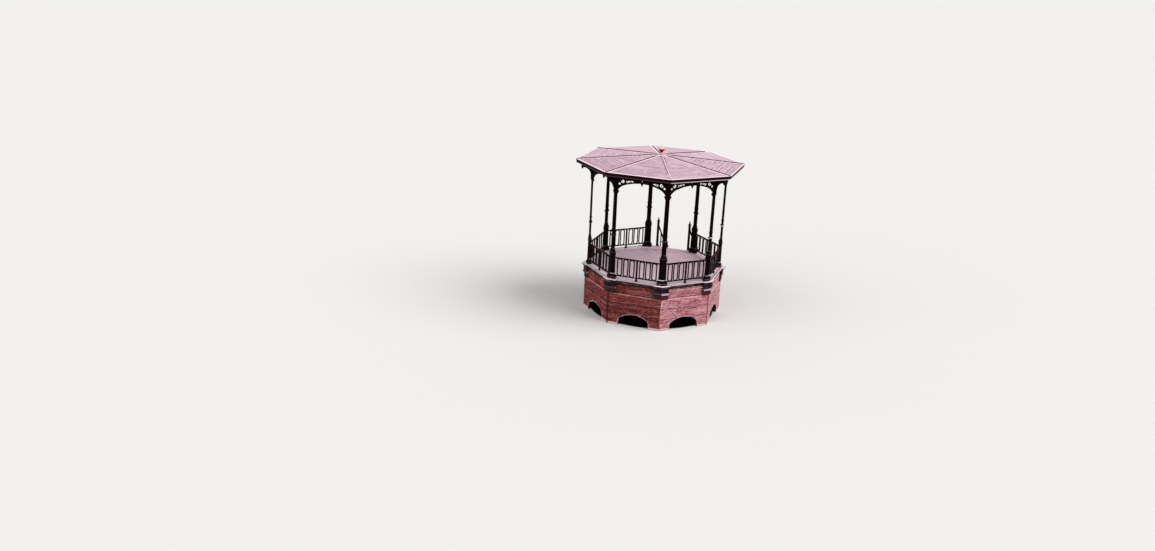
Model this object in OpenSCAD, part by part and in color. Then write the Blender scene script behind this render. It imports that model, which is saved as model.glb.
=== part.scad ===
// Model bandstand at H0 scale, in millimetres. It stands on z = 0, and its steps lead up at the back (+Y).
// Eight sides, numbered from the front side (facing -Y) anticlockwise seen from above.

/* [Plinth] */
// Distance across the flat sides of the plinth walls
plinth_flats = 75; // [70:1:80]
// Thickness of the plinth walls
wall_t = 2; // [1.6:0.1:2.6]
// Height of the plinth walls, up to the underside of the coping
wall_h = 25; // [24:0.1:26]
// Height of the ledge where the top course steps back
ledge_z = 18.4; // [17.5:0.1:19]
// Depth by which the top course steps back
course_recess = 0.35; // [0.2:0.05:0.5]

/* [Plinth arches] */
// Half of the clear width of an arch
arch_half = 9; // [8:0.1:10]
// Height of the straight jambs of an arch
arch_jamb = 2; // [1:0.1:3]
// Rise of an arch above its jambs
arch_rise = 5; // [4.6:0.1:6]
// Radius of the arch beside each jamb
arch_side_r = 3.4; // [2.8:0.1:3.8]

/* [Coping and deck] */
// Height of the coping
coping_h = 1.55; // [1.5:0.05:1.8]
// Reach of the coping beyond the plinth walls
coping_out = 1; // [0.7:0.05:1.3]
// Width of the coping from front to back
coping_w = 5.5; // [5.2:0.1:6]
// Reach of a corner block beyond the coping
block_out = 0.9; // [0.6:0.05:1.1]
// Length of a corner block along each side
block_len = 5.6; // [5:0.1:6.5]
// Thickness of the deck plate
deck_t = 0.9; // [0.8:0.05:1]
// Width of the rebate that carries the deck plate
deck_rebate = 1.5; // [1:0.1:2]

/* [Corner corbels] */
// Length of a corbel along each side
corbel_len = 4.8; // [4.2:0.1:5.4]
// Reach of the lower block beyond the plinth wall
corbel_lower_out = 0.3; // [0.2:0.05:0.5]
// Reach of the moulded band beyond the plinth wall
corbel_band_out = 1.15; // [0.9:0.05:1.3]
// Reach of the upper block beyond the plinth wall
corbel_upper_out = 0.8; // [0.6:0.05:1]

/* [Columns] */
// Setback of the line of the columns from the edge of the coping
column_in = 2.6; // [2.3:0.05:2.9]
// Height of the columns from the deck to the beam
column_h = 57.85; // [54:0.05:62]
// Width of each half of a foot, along its side
foot_w = 2.75; // [2.5:0.05:2.9]
// Thickness of a foot
foot_t = 2.1; // [1.9:0.05:2.4]
// Width of each half of a pedestal at its foot
pedestal_w = 2; // [1.8:0.05:2.1]
// Thickness of a pedestal
pedestal_t = 1.3; // [1.1:0.05:1.5]
// Height of a pedestal above the deck
pedestal_h = 13.6; // [12.8:0.1:15]
// Width of each half of a shaft where it leaves the pedestal
shaft_w = 1.25; // [1.15:0.05:1.4]
// Width of each half of a shaft under the capital
shaft_top_w = 1.1; // [1:0.05:1.15]
// Thickness of a shaft
shaft_t = 0.6; // [0.5:0.05:0.8]
// Height above the deck of the ring round a shaft
ring_h = 24.6; // [22:0.1:27]
// Width of each half of a capital
capital_w = 1.9; // [1.7:0.05:2.1]
// Thickness of a capital
capital_t = 1.1; // [0.9:0.05:1.3]
// Height of a column's head above the capital
head_h = 7.25; // [6.5:0.05:8]

/* [Railings] */
// Height of the railing above the deck
railing_h = 12.5; // [11.5:0.1:13]
// Height of the gap under the bottom rail
railing_gap = 1.7; // [1.2:0.1:2.2]
// Thickness of the top rail
rail_t = 1; // [0.8:0.05:1.2]
// Thickness of the hoops
hoop_t = 0.6; // [0.5:0.05:0.8]
// Width of a hoop's bar
hoop_bar = 0.55; // [0.4:0.05:0.6]
// Half of the clear width of a hoop
hoop_half = 1; // [0.8:0.05:1.05]
// Distance from one hoop to the next
hoop_pitch = 3.6; // [3.4:0.05:3.7]
// Distance from the middle of the bay to the first hoop
hoop_first = 2.9; // [2.6:0.05:3]
// Width of the middle post
mid_post_w = 0.9; // [0.7:0.05:1.1]

/* [Spandrels] */
// Depth of the plain band between the crown of the arch and the beam
spandrel_crown = 2; // [1.8:0.1:2.3]
// Rise of the spandrel arch above its springing
spandrel_rise = 8.6; // [8.2:0.1:9]
// Radius of the spandrel arch beside each column
spandrel_side_r = 7.2; // [6.6:0.1:7.4]
// Thickness of the pierced plate
spandrel_t = 0.6; // [0.5:0.05:0.8]
// Thickness of the moulded rim along the arch
spandrel_rim_t = 1.1; // [0.9:0.05:1.3]
// Width of the moulded rim along the arch
spandrel_rim_w = 0.7; // [0.5:0.05:0.8]
// Length of the pointed drop under the crown
pendant_drop = 1.6; // [1:0.1:2]

/* [Eaves brackets] */
// Reach of a bracket from the line of the columns to its pointed drop
bracket_reach = 5.8; // [5.6:0.1:6.4]
// Depth of a bracket below the beam where it leaves the column
bracket_h = 5.3; // [4.8:0.1:5.4]
// Depth of a bracket below the beam at its outer end
bracket_end_h = 0.7; // [0.5:0.05:0.9]
// Length of the pointed drop under a bracket
bracket_drop = 0.9; // [0.7:0.1:1.2]

/* [Roof] */
// Reach of the eaves beyond the line of the columns
eaves_out = 9; // [8:0.1:10]
// Rise of the roof from the eaves to the peak
roof_rise = 4.12; // [3:0.1:7]
// Thickness of the roof cover
roof_t = 0.9; // [0.7:0.05:1.1]
// Thickness of the thin eaves edge
eaves_t = 0.4; // [0.3:0.05:0.5]
// Height of the fascia below the eaves edge
fascia_h = 0.95; // [0.8:0.05:1.1]
// Thickness of the soffit board
soffit_t = 0.7; // [0.6:0.05:0.8]
// Width of the ring beam over the columns
beam_w = 1.8; // [1.5:0.1:2.2]
// Depth of the ring beam below the soffit board
beam_drop = 2; // [1.8:0.05:2.4]
// Radius of the hip ribs
rib_r = 0.5; // [0.35:0.05:0.7]

/* [Finial] */
// Radius of the finial's cup
cup_r = 1.95; // [1.6:0.05:2.3]
// Height of the finial
finial_h = 6.15; // [5:0.05:8]

/* [Steps] */
// Number of risers from the ground to the deck
risers = 11; // [9:1:12]
// Depth of each tread
going = 2.7; // [2.5:0.1:3.2]
// Half of the clear width of the flight
flight_half = 8.8; // [8:0.1:9]
// Thickness of the flight under the treads
flight_t = 1.6; // [1.2:0.1:2]
// Width of a side wall of the steps
cheek_w = 2.4; // [2:0.1:3]
// Height of a side wall above the line of the treads
cheek_rise = 2.4; // [1.6:0.1:3]
// Radius of a newel post
newel_r = 0.75; // [0.6:0.05:0.8]
// Height of the sloping handrail above the line of its side wall
handrail_h = 13.4; // [12:0.1:14]
// Number of treads from one baluster to the next
baluster_treads = 3; // [2:1:3]

/* [Hidden] */

$fn = 48;
sides = 8;
turn = 360 / sides;
half_turn = turn / 2;

// Clearance of a piece that drops in beside another
fit = 0.05;
// Reach of a cut beyond what it cuts
over = 1;

// Heights, from the ground up
coping_z = wall_h;
deck_z = coping_z + coping_h;
beam_z = deck_z + column_h;
soffit_z = beam_z + beam_drop;
fascia_z = soffit_z + soffit_t;
eaves_z = fascia_z + fascia_h + eaves_t;
peak_z = eaves_z + roof_rise;

// Height of a capital's top above the deck
capital_h = column_h - head_h;

// Distances from the middle to the flat sides
wall_a = plinth_flats / 2;
wall_in_a = wall_a - wall_t;
coping_a = wall_a + coping_out;
coping_in_a = coping_a - coping_w;
bay_a = coping_a - column_in;
half_bay = bay_a * tan(half_turn);
eaves_a = bay_a + eaves_out;
eaves_rebate = 0.95;
fascia_in_a = eaves_a - eaves_rebate;
fascia_a = eaves_a - 0.3;
roof_slope = roof_rise / eaves_a;

// Steps, from the edge of the coping outwards
riser_h = deck_z / risers;
pitch = riser_h / going;
treads = risers - 1;
flight_start = coping_a;
cheek_x = flight_half + cheek_w / 2;
cheek_low_z = 4.5;
cheek_break = flight_start + (deck_z + cheek_rise - wall_h) / pitch;
cheek_foot = flight_start + (deck_z + cheek_rise - cheek_low_z) / pitch;
cheek_end = cheek_foot + 2.6;
newel_top_y = cheek_break - 1.2;
newel_low_y = cheek_foot + 1.3;

// The footprint, steps and all, is centred on the origin
centre_y = -(cheek_end - eaves_a) / 2;

stone = [0.62, 0.35, 0.35];
lilac = [0.80, 0.71, 0.76];
iron = [0.09, 0.07, 0.08];
copper = [0.72, 0.40, 0.22];

// Distance along a flat side from its middle to its corner
function half_side(a) = a * tan(half_turn);

// Point on the side at distance a, s from the corner; the corner points to -Y, and s < 0 is its left side
function from_corner(a, s) = [s * cos(half_turn), -a / cos(half_turn) + abs(s) * sin(half_turn)];

module centred() translate([0, centre_y, 0]) children();

// Turns a piece made for the front side, or for the corner at -Y, to its own place
module on_side(n) centred() rotate([0, 0, turn * n]) children();
module on_corner(n) centred() rotate([0, 0, turn * n + half_turn]) children();

// Stands an outline drawn in x and z upright at distance a, thick on both sides of it
module upright(a, t) translate([0, -a + t / 2, 0]) rotate([90, 0, 0]) linear_extrude(t) children();

// Stands an outline drawn in distance from the middle and height upright, so that it faces along X and is w wide
module outward(w) rotate([90, 0, -90]) translate([0, 0, -w / 2]) linear_extrude(w) children();

module octagon(a) {
    polygon([for (n = [0 : sides - 1]) a / cos(half_turn) * [cos(turn * n + half_turn), sin(turn * n + half_turn)]]);
}

module ring_plan(inner, outer) {
    difference() {
        octagon(outer);
        octagon(inner);
    }
}

// Arch of three arcs that run into each other: s half span, h rise, r side radius, grown by a border
module basket_arch(s, h, r, grow = 0) {
    crown_r = ((s - r) * (s - r) + h * h - r * r) / (2 * (h - r));
    crown_z = h - crown_r;
    wide = 3;
    intersection() {
        translate([0, crown_z]) circle(crown_r + grow, $fn = 96);
        polygon([[0, crown_z], [wide * (s - r), (1 - wide) * crown_z], [-wide * (s - r), (1 - wide) * crown_z]]);
    }
    for (m = [-1, 1]) translate([m * (s - r), 0]) circle(r + grow);
}

// Plinth

module wall_block() {
    linear_extrude(wall_h) polygon([
        [-half_side(wall_a), -wall_a], [half_side(wall_a), -wall_a],
        [half_side(wall_in_a), -wall_in_a], [-half_side(wall_in_a), -wall_in_a]
    ]);
}

// The top course lies a little behind the courses below it
module course_step() {
    wide = half_side(wall_a) + over;
    translate([-wide, -wall_a - over, ledge_z]) cube([2 * wide, over + course_recess, wall_h]);
}

module arch_opening() {
    upright(wall_a - wall_t / 2, wall_t + 2 * over) {
        translate([0, arch_jamb]) basket_arch(arch_half, arch_rise, arch_side_r);
        translate([-arch_half, -over]) square([2 * arch_half, arch_jamb + over]);
    }
}

module arched_wall(n) {
    color(stone) on_side(n) difference() {
        wall_block();
        course_step();
        arch_opening();
    }
}

module plain_wall(n) {
    color(stone) on_side(n) difference() {
        wall_block();
        course_step();
    }
}

// One stage of a corbel: an angle that wraps the corner, run into the wall and cut off there by corner_corbels
module corbel_stage(out, len, z, h) {
    outer_a = wall_a + out;
    inner_a = wall_a - wall_t;
    inner_len = len - half_side(outer_a) + half_side(inner_a);
    translate([0, 0, z]) linear_extrude(h) polygon([
        from_corner(outer_a, -len), from_corner(outer_a, 0), from_corner(outer_a, len),
        from_corner(inner_a, inner_len), from_corner(inner_a, 0), from_corner(inner_a, -inner_len)
    ]);
}

module corner_corbels() {
    band_z = ledge_z + 2.7;
    upper_z = band_z + 1.2;
    color(stone) centred() difference() {
        for (n = [0 : sides - 1]) rotate([0, 0, turn * n + half_turn]) {
            corbel_stage(corbel_lower_out, corbel_len - 0.6, ledge_z, band_z - ledge_z);
            corbel_stage(corbel_band_out - 0.35, corbel_len - 0.25, band_z, upper_z - band_z);
            corbel_stage(corbel_band_out, corbel_len, band_z + 0.35, 0.5);
            corbel_stage(corbel_upper_out, corbel_len - 0.4, upper_z, wall_h - upper_z);
        }
        translate([0, 0, ledge_z - over]) linear_extrude(wall_h) octagon(wall_a - course_recess);
    }
}

// Coping and deck

// What the mouldings take off one side of the coping: the hollow under the lip, and a small bevel above it
module coping_cut(a) {
    bed = 0.25;
    cove = 0.85;
    lip_back = 0.1;
    bevel = 0.15;
    outward(2 * a) {
        translate([a - cove, coping_z - over]) square([cove + over, bed + over]);
        translate([a - lip_back, coping_z + bed]) circle(cove - lip_back);
        translate([a - lip_back, coping_z]) square([over, bed + cove - lip_back]);
        translate([a, deck_z]) rotate(45) square(bevel * sqrt(2), center = true);
    }
}

// Coping whose lip lies at distance a, with the rebate for the deck and a groove along the edge
module coping_ring(a) {
    groove = 0.15;
    groove_a = a - 1;
    difference() {
        translate([0, 0, coping_z]) linear_extrude(coping_h) octagon(a);
        translate([0, 0, coping_z - over]) linear_extrude(coping_h + 2 * over) octagon(coping_in_a - deck_rebate);
        translate([0, 0, deck_z - deck_t]) linear_extrude(deck_t + over) octagon(coping_in_a);
        translate([0, 0, deck_z - groove]) linear_extrude(over) ring_plan(groove_a - groove, groove_a);
        for (n = [0 : sides - 1]) rotate([0, 0, turn * n]) coping_cut(a);
    }
}

// Plan of a corner block, with bevelled ends
module block_plan() {
    a = coping_a + block_out + over;
    back_a = coping_a - 2;
    polygon([
        from_corner(a, -block_len - over), from_corner(a, 0), from_corner(a, block_len + over),
        from_corner(back_a, block_len - 3), from_corner(back_a, 0), from_corner(back_a, 3 - block_len)
    ]);
}

module coping() {
    color(lilac) centred() {
        coping_ring(coping_a);
        intersection() {
            coping_ring(coping_a + block_out);
            for (n = [0 : sides - 1]) rotate([0, 0, turn * n + half_turn])
                linear_extrude(deck_z) block_plan();
        }
    }
}

module deck() {
    color(lilac) centred() translate([0, 0, deck_z - deck_t])
        linear_extrude(deck_t) octagon(coping_in_a - fit);
}

// Columns

// Rounded bead on a moulding that reaches r, from height z to z + h, standing out by the given amount
function bead(r, out, z, h, steps = 8) = [
    for (k = [0 : steps]) let (t = 180 * k / steps - 90) [r + out * cos(t), z + h / 2 + h / 2 * sin(t)]
];

// Outline of a column from the foot up, for its widths along the sides or for half its thicknesses
function column_outline(foot, pedestal, shaft, shaft_top, capital) =
    let (
        base = (foot + pedestal) / 2,
        collar_z = pedestal_h,
        cap_z = capital_h - 0.9,
        flare = shaft_top + (capital - shaft_top) * 0.3,
        steps = 4
    )
    concat(
        [[foot, 0], [foot, 0.6]],
        bead(base, foot + 0.15 - base, 0.7, 1.15, steps),
        bead(pedestal, foot - 0.3 - pedestal, 2.15, 0.8, steps),
        [[pedestal, 3.3], [pedestal - 0.15, collar_z - 0.1]],
        bead(pedestal - 0.15, 0.25, collar_z, 0.55, steps),
        [[pedestal - 0.05, collar_z + 0.7], [pedestal - 0.05, collar_z + 1.3]],
        bead(pedestal - 0.15, 0.25, collar_z + 1.4, 0.55, steps),
        [[pedestal - 0.2, collar_z + 2.1], [shaft + 0.15, collar_z + 2.9]],
        bead(shaft, 0.25, collar_z + 3, 0.55, steps),
        bead(shaft, 0.4, ring_h, 1, steps),
        bead(shaft, 0.2, ring_h + 3.1, 0.6, steps),
        [[shaft_top, cap_z - 1.3], [flare, cap_z - 0.6]],
        [[capital - 0.15, cap_z], [capital, cap_z + 0.2], [capital, cap_z + 0.7], [capital - 0.2, capital_h]],
        [[shaft, capital_h + 0.5], [shaft, column_h]]
    );

column_widths = column_outline(foot_w, pedestal_w, shaft_w, shaft_top_w, capital_w);
column_depths = column_outline(foot_t / 2, pedestal_t / 2, shaft_t / 2, shaft_t / 2, capital_t / 2);

// A column is an angle of two halves that meet at the corner; this repeats one half's shape for the other
module both_halves() {
    rotate([0, 0, -half_turn]) children();
    mirror([1, 0, 0]) rotate([0, 0, -half_turn]) children();
}

// One half seen square to its side, run a little past the corner so that the outer edges meet
module column_face() {
    past_x = half_bay + (foot_t + 0.4) / 2 * tan(half_turn);
    upright(bay_a, 2 * foot_t) polygon(concat(
        [[past_x, 0]],
        [for (p = column_widths) [half_bay - p[0], p[1]]],
        [[past_x, column_h]]
    ));
}

// All that lies inside one face of a half: the outer face for m = 1, the inner face for m = -1
module inside_face(m) {
    last = len(column_depths) - 1;
    outward(2 * bay_a) polygon(concat(
        [[0, -over], [bay_a + m * column_depths[0][0], -over]],
        [for (p = column_depths) [bay_a + m * p[0], p[1]]],
        [[bay_a + m * column_depths[last][0], column_h + over], [0, column_h + over]]
    ));
}

// What both faces of the two halves enclose
module common_inside(m) {
    intersection() {
        rotate([0, 0, -half_turn]) inside_face(m);
        rotate([0, 0, half_turn]) inside_face(m);
    }
}

// Outline of the pointed drop under an arch or a bracket, from the edge that it hangs on
module drop_outline(length) {
    polygon([[-0.75, 0.3], [-0.35, -0.5], [0, -length], [0.35, -0.5], [0.75, 0.3]]);
}

// Curved bracket that runs out from a column's head to carry the eaves
module eaves_bracket() {
    line_a = bay_a / cos(half_turn);
    beam_a = (bay_a + beam_w / 2 + fit) / cos(half_turn);
    root_a = line_a + 0.8;
    drop_a = line_a + bracket_reach;
    end_a = drop_a + 0.5;
    foot_z = deck_z + capital_h;
    end_z = beam_z - bracket_end_h;
    r = bracket_h - bracket_end_h;
    outward(spandrel_t) difference() {
        polygon([
            [line_a, foot_z], [end_a, foot_z], [end_a, soffit_z],
            [beam_a, soffit_z], [beam_a, beam_z], [line_a, beam_z]
        ]);
        translate([root_a + r, end_z - r]) circle(r);
        translate([root_a + r, foot_z - over]) square([bracket_reach, end_z - foot_z + over]);
        translate([root_a, foot_z - over]) square([r + over, end_z - r - foot_z + over]);
    }
    outward(spandrel_rim_t) translate([drop_a, end_z]) drop_outline(bracket_drop);
}

module column(n) {
    color(iron) on_corner(n) {
        translate([0, 0, deck_z]) intersection() {
            both_halves() column_face();
            difference() {
                common_inside(1);
                common_inside(-1);
            }
        }
        eaves_bracket();
    }
}

// Railings

// Upright bar with round ends, half as wide as w
module stadium(w, z0, z1) {
    translate([-w, z0 + w]) square([2 * w, z1 - z0 - 2 * w]);
    for (z = [z0 + w, z1 - w]) translate([0, z]) circle(w, $fn = 24);
}

module hoop(x) {
    outer = hoop_half + hoop_bar;
    z0 = deck_z + railing_gap;
    z1 = deck_z + railing_h - 0.1;
    translate([x, 0]) difference() {
        stadium(outer, z0, z1);
        stadium(hoop_half, z0 + hoop_bar + 0.15, z1 - hoop_bar - 0.2);
    }
}

module rail(half, z, h) translate([-half, z]) square([2 * half, h]);

module railing(n) {
    half = half_bay - pedestal_w - fit;
    top_z = deck_z + railing_h - 0.65;
    hoops = floor((half - hoop_first - hoop_half - hoop_bar) / hoop_pitch);
    color(iron) on_side(n) {
        upright(bay_a, rail_t) rail(half, top_z, 0.65);
        upright(bay_a, rail_t - 0.2) rail(half, deck_z + railing_gap, 0.5);
        upright(bay_a, hoop_t) for (m = [-1, 1], k = [0 : hoops]) hoop(m * (hoop_first + k * hoop_pitch));
        upright(bay_a, rail_t) rail(mid_post_w / 2, deck_z, railing_h);
        upright(bay_a, rail_t + 0.4) rail(mid_post_w / 2 + 0.25, deck_z, 0.6);
    }
}

// Spandrels

// Round light with a cusp that grows in from its edge, as in cast tracery
module cusped_round(x, z, r, cusp_r, at) {
    translate([x, z]) difference() {
        circle(r, $fn = 32);
        translate((r - cusp_r * 0.35) * [cos(at), sin(at)]) circle(cusp_r, $fn = 24);
    }
}

// Leaf light: two arcs that meet in points
module leaf(x, z, long, wide, tilt) {
    r = (long * long / 4 + wide * wide / 4) / wide;
    translate([x, z]) rotate(tilt) intersection() {
        translate([0, wide / 2 - r]) circle(r, $fn = 48);
        translate([0, r - wide / 2]) circle(r, $fn = 48);
    }
}

// Lights of one half of a spandrel, measured from the column and from the beam
module scroll_lights() {
    x = half_bay;
    z = beam_z;
    translate([x - 2.15, z - 3.3]) circle(0.62, $fn = 24);
    cusped_round(x - 3.8, z - 1.9, 1.1, 0.46, 50);
    cusped_round(x - 6.5, z - 1.75, 0.85, 0.4, 100);
    leaf(x - 7.75, z - 1.55, 1.7, 0.75, 12);
    leaf(x - 9.3, z - 1.4, 1.8, 0.8, 5);
}

module spandrel_arch(grow) {
    column_cover = 0.3;
    translate([0, beam_z - spandrel_crown - spandrel_rise])
        basket_arch(half_bay - column_cover, spandrel_rise, spandrel_side_r, grow);
}

// The arch cut from a plate that runs from the capital to the beam
module spandrel_plate() {
    half = half_bay - shaft_w - fit;
    foot_z = deck_z + capital_h + 0.3;
    difference() {
        translate([-half, foot_z]) square([2 * half, beam_z - foot_z]);
        spandrel_arch(0);
    }
}

module spandrel(n) {
    crown_z = beam_z - spandrel_crown;
    color(iron) on_side(n) {
        upright(bay_a, spandrel_t) difference() {
            spandrel_plate();
            for (m = [0, 1]) mirror([m, 0]) scroll_lights();
            translate([0, beam_z - 0.7]) circle(0.28, $fn = 24);
        }
        upright(bay_a, spandrel_rim_t) intersection() {
            spandrel_plate();
            spandrel_arch(spandrel_rim_w);
        }
        upright(bay_a, spandrel_rim_t) translate([0, crown_z]) drop_outline(pendant_drop);
    }
}

// Roof

// Solid under the roof planes, dropped by the given amount and cut off at distance a
module under_roof(drop, a) {
    z = eaves_z - drop;
    far = eaves_a + 3 * over;
    intersection_for (n = [0 : sides - 1]) rotate([0, 0, turn * n])
        outward(2 * far) polygon([
            [a, beam_z], [a, z + (eaves_a - a) * roof_slope],
            [-far, z + (eaves_a + far) * roof_slope], [-far, beam_z]
        ]);
}

// Flat top of the roof under the finial
peak_flat_z = peak_z - 1.9 * roof_slope;

module roof_cover() {
    color(lilac) centred() difference() {
        under_roof(0, eaves_a);
        under_roof(roof_t, eaves_a + over);
        difference() {
            under_roof(eaves_t, eaves_a + over);
            linear_extrude(peak_z) octagon(fascia_in_a);
        }
        translate([-eaves_a, -eaves_a, peak_flat_z]) cube([2 * eaves_a, 2 * eaves_a, over]);
    }
}

module roof_fascia() {
    color(iron) centred() intersection() {
        under_roof(eaves_t, eaves_a + over);
        translate([0, 0, fascia_z]) linear_extrude(2 * fascia_h) ring_plan(fascia_in_a + fit, fascia_a);
    }
}

module roof_soffit() {
    color(lilac) centred() translate([0, 0, soffit_z])
        linear_extrude(soffit_t) ring_plan(bay_a + beam_w / 2 + fit, fascia_a);
}

module ring_beam() {
    color(iron) centred() intersection() {
        under_roof(roof_t, eaves_a + over);
        translate([0, 0, beam_z]) linear_extrude(peak_z - beam_z)
            ring_plan(bay_a - beam_w / 2, bay_a + beam_w / 2);
    }
}

// Half-round rolls over the hips, from the finial to the eaves
module hip_ribs() {
    corner_r = eaves_a / cos(half_turn);
    tilt = atan(roof_rise / corner_r);
    start = 2.9;
    color(lilac) centred() difference() {
        for (n = [0 : sides - 1]) rotate([0, 0, turn * n + half_turn])
            translate([0, -start, peak_z - start * tan(tilt)]) rotate([90 + tilt, 0, 0])
            cylinder(h = (corner_r - start - 0.3) / cos(tilt), r = rib_r, $fn = 24);
        under_roof(0, eaves_a + over);
    }
}

module finial() {
    cup_z = 0.47 * finial_h;
    color(copper) centred() translate([0, 0, peak_flat_z]) rotate_extrude() polygon(concat(
        [[0, 0], [1.65, 0]],
        bead(1.5, 0.2, 0, 0.4),
        [[0.8, 0.75], [0.55, 1.05], [0.7, 1.25], [cup_r - 0.15, cup_z]],
        bead(cup_r - 0.2, 0.2, cup_z + 0.1, 0.45),
        [[0.75, cup_z + 0.6], [0.5, cup_z + 0.9]],
        bead(0.5, 0.25, cup_z + 0.9, 0.5),
        [[0.4, cup_z + 1.6], [0.12, finial_h], [0, finial_h]]
    ));
}

// Steps

// Profile in distance from the middle and height, at x, facing the back
module along_steps(x, w) {
    centred() translate([x - w / 2, 0, 0]) rotate([90, 0, 90]) linear_extrude(w) children();
}

// Height of the line over the noses of the treads
function nose_z(y) = deck_z - (y - flight_start) * pitch;

module step_flight() {
    back_y = wall_a - course_recess;
    under_z = riser_h + flight_t;
    toe_y = flight_start + (deck_z - under_z) / pitch;
    color(stone) along_steps(0, 2 * (flight_half - fit)) polygon(concat(
        [[back_y, nose_z(back_y) - under_z], [toe_y, 0]],
        [for (k = [treads : -1 : 1], e = [0, 1])
            [flight_start + k * going, deck_z - (k + (e == 0 ? 1 : 0)) * riser_h]],
        [[back_y, deck_z - riser_h]]
    ));
}

module step_wall(m) {
    back_y = wall_a - course_recess;
    color(stone) along_steps(m * cheek_x, cheek_w) polygon([
        [wall_a, 0], [wall_a, ledge_z], [back_y, ledge_z], [back_y, wall_h], [cheek_break, wall_h],
        [cheek_foot, cheek_low_z], [cheek_end, cheek_low_z], [cheek_end, 0]
    ]);
}

// Bar that runs down with the steps from y0 to y1
module slope_bar(y0, y1, up, h) {
    polygon([[y0, nose_z(y0) + up], [y1, nose_z(y1) + up], [y1, nose_z(y1) + up + h], [y0, nose_z(y0) + up + h]]);
}

module newel(h) {
    rotate_extrude($fn = 32) polygon(concat(
        [[0, 0], [newel_r + 0.35, 0], [newel_r + 0.35, 0.6], [newel_r, 1]],
        [[newel_r, h - 0.4]],
        bead(newel_r, 0.3, h - 0.3, 0.6),
        [[0.35, h + 0.5], [0.5, h + 0.9], [0.42, h + 1.4], [0.12, h + 2.4], [0, h + 2.4]]
    ));
}

module handrail(m) {
    rail_up = cheek_rise + handrail_h;
    low_up = cheek_rise + railing_gap;
    newel_over = 2.6;
    spacing = baluster_treads * going;
    color(iron) {
        along_steps(m * cheek_x, rail_t - 0.2) {
            slope_bar(newel_top_y, newel_low_y, rail_up, 0.6);
            slope_bar(newel_top_y, newel_low_y, low_up, 0.5);
        }
        along_steps(m * cheek_x, hoop_t)
            for (y = [newel_top_y + spacing : spacing : newel_low_y - 1])
                translate([y, nose_z(y) + low_up]) square([hoop_bar, rail_up - low_up]);
        centred() translate([m * cheek_x, newel_top_y, wall_h])
            newel(nose_z(newel_top_y) + rail_up + newel_over - wall_h);
        centred() translate([m * cheek_x, newel_low_y, cheek_low_z])
            newel(nose_z(newel_low_y) + rail_up + newel_over - cheek_low_z);
    }
}

arched_wall(0);  // plinth_wall_front
arched_wall(1);  // plinth_wall_front_right
arched_wall(2);  // plinth_wall_right
arched_wall(3);  // plinth_wall_back_right
plain_wall(4);  // plinth_wall_back
arched_wall(5);  // plinth_wall_back_left
arched_wall(6);  // plinth_wall_left
arched_wall(7);  // plinth_wall_front_left
coping();
deck();
corner_corbels();
column(0);  // column_front_right
column(1);  // column_right_front
column(2);  // column_right_back
column(3);  // column_back_right
column(4);  // column_back_left
column(5);  // column_left_back
column(6);  // column_left_front
column(7);  // column_front_left
railing(0);  // railing_front
railing(1);  // railing_front_right
railing(2);  // railing_right
railing(3);  // railing_back_right
railing(5);  // railing_back_left
railing(6);  // railing_left
railing(7);  // railing_front_left
spandrel(0);  // spandrel_front
spandrel(1);  // spandrel_front_right
spandrel(2);  // spandrel_right
spandrel(3);  // spandrel_back_right
spandrel(4);  // spandrel_back
spandrel(5);  // spandrel_back_left
spandrel(6);  // spandrel_left
spandrel(7);  // spandrel_front_left
ring_beam();
roof_soffit();
roof_fascia();
roof_cover();
hip_ribs();
finial();
step_flight();
step_wall(-1);  // step_wall_left
step_wall(1);  // step_wall_right
handrail(-1);  // handrail_left
handrail(1);  // handrail_right
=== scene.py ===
import math
import bmesh
import bpy
from mathutils import Matrix, Vector, noise


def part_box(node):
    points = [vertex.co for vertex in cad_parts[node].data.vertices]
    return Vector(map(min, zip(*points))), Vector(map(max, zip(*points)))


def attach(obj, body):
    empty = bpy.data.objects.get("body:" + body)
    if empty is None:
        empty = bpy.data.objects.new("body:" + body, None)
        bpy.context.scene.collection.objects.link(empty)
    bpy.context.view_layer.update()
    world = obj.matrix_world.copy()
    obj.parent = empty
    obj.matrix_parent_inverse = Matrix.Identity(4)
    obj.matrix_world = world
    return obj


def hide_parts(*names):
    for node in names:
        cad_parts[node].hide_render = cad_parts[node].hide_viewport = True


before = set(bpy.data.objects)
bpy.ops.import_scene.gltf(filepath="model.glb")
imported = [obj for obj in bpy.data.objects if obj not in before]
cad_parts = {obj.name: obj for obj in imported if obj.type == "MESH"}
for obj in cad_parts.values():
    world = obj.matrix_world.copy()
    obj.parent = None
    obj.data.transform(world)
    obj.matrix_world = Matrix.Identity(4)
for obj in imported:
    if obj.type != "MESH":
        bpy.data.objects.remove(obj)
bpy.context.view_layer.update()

# Lengths in the dictionaries are millimetres, Blender's are metres
mm = 0.001
sideNames = ["front", "front_right", "right", "back_right", "back", "back_left", "left", "front_left"]
cornerNames = ["front_right", "right_front", "right_back", "back_right", "back_left", "left_back",
               "left_front", "front_left"]
sideTurn = math.radians(45)

deckLow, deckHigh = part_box("deck")
wallLow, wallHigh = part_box("plinth_wall_front")
roofLow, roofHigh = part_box("roof_cover")
middleY = (deckLow.y + deckHigh.y) / 2      # the eight sides stand round this, the steps lie behind
wallReach = (middleY - wallLow.y) / mm      # from the middle to the face of a plinth wall
roofReach = (middleY - roofLow.y) / mm      # from the middle to the eaves
wallHalf = wallReach * math.tan(sideTurn / 2)
roofCorner = roofReach / math.cos(sideTurn / 2)
print("frame loaded, walls", round(wallReach, 2), "eaves", round(roofReach, 2))


# Nodes of a material

def newPaint(name):
    paint = bpy.data.materials.new(name)
    paint.use_nodes = True
    tree = paint.node_tree
    shader = tree.nodes["Principled BSDF"]
    place = tree.nodes.new("ShaderNodeTexCoord").outputs["Object"]
    return paint, tree, shader, place


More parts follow.
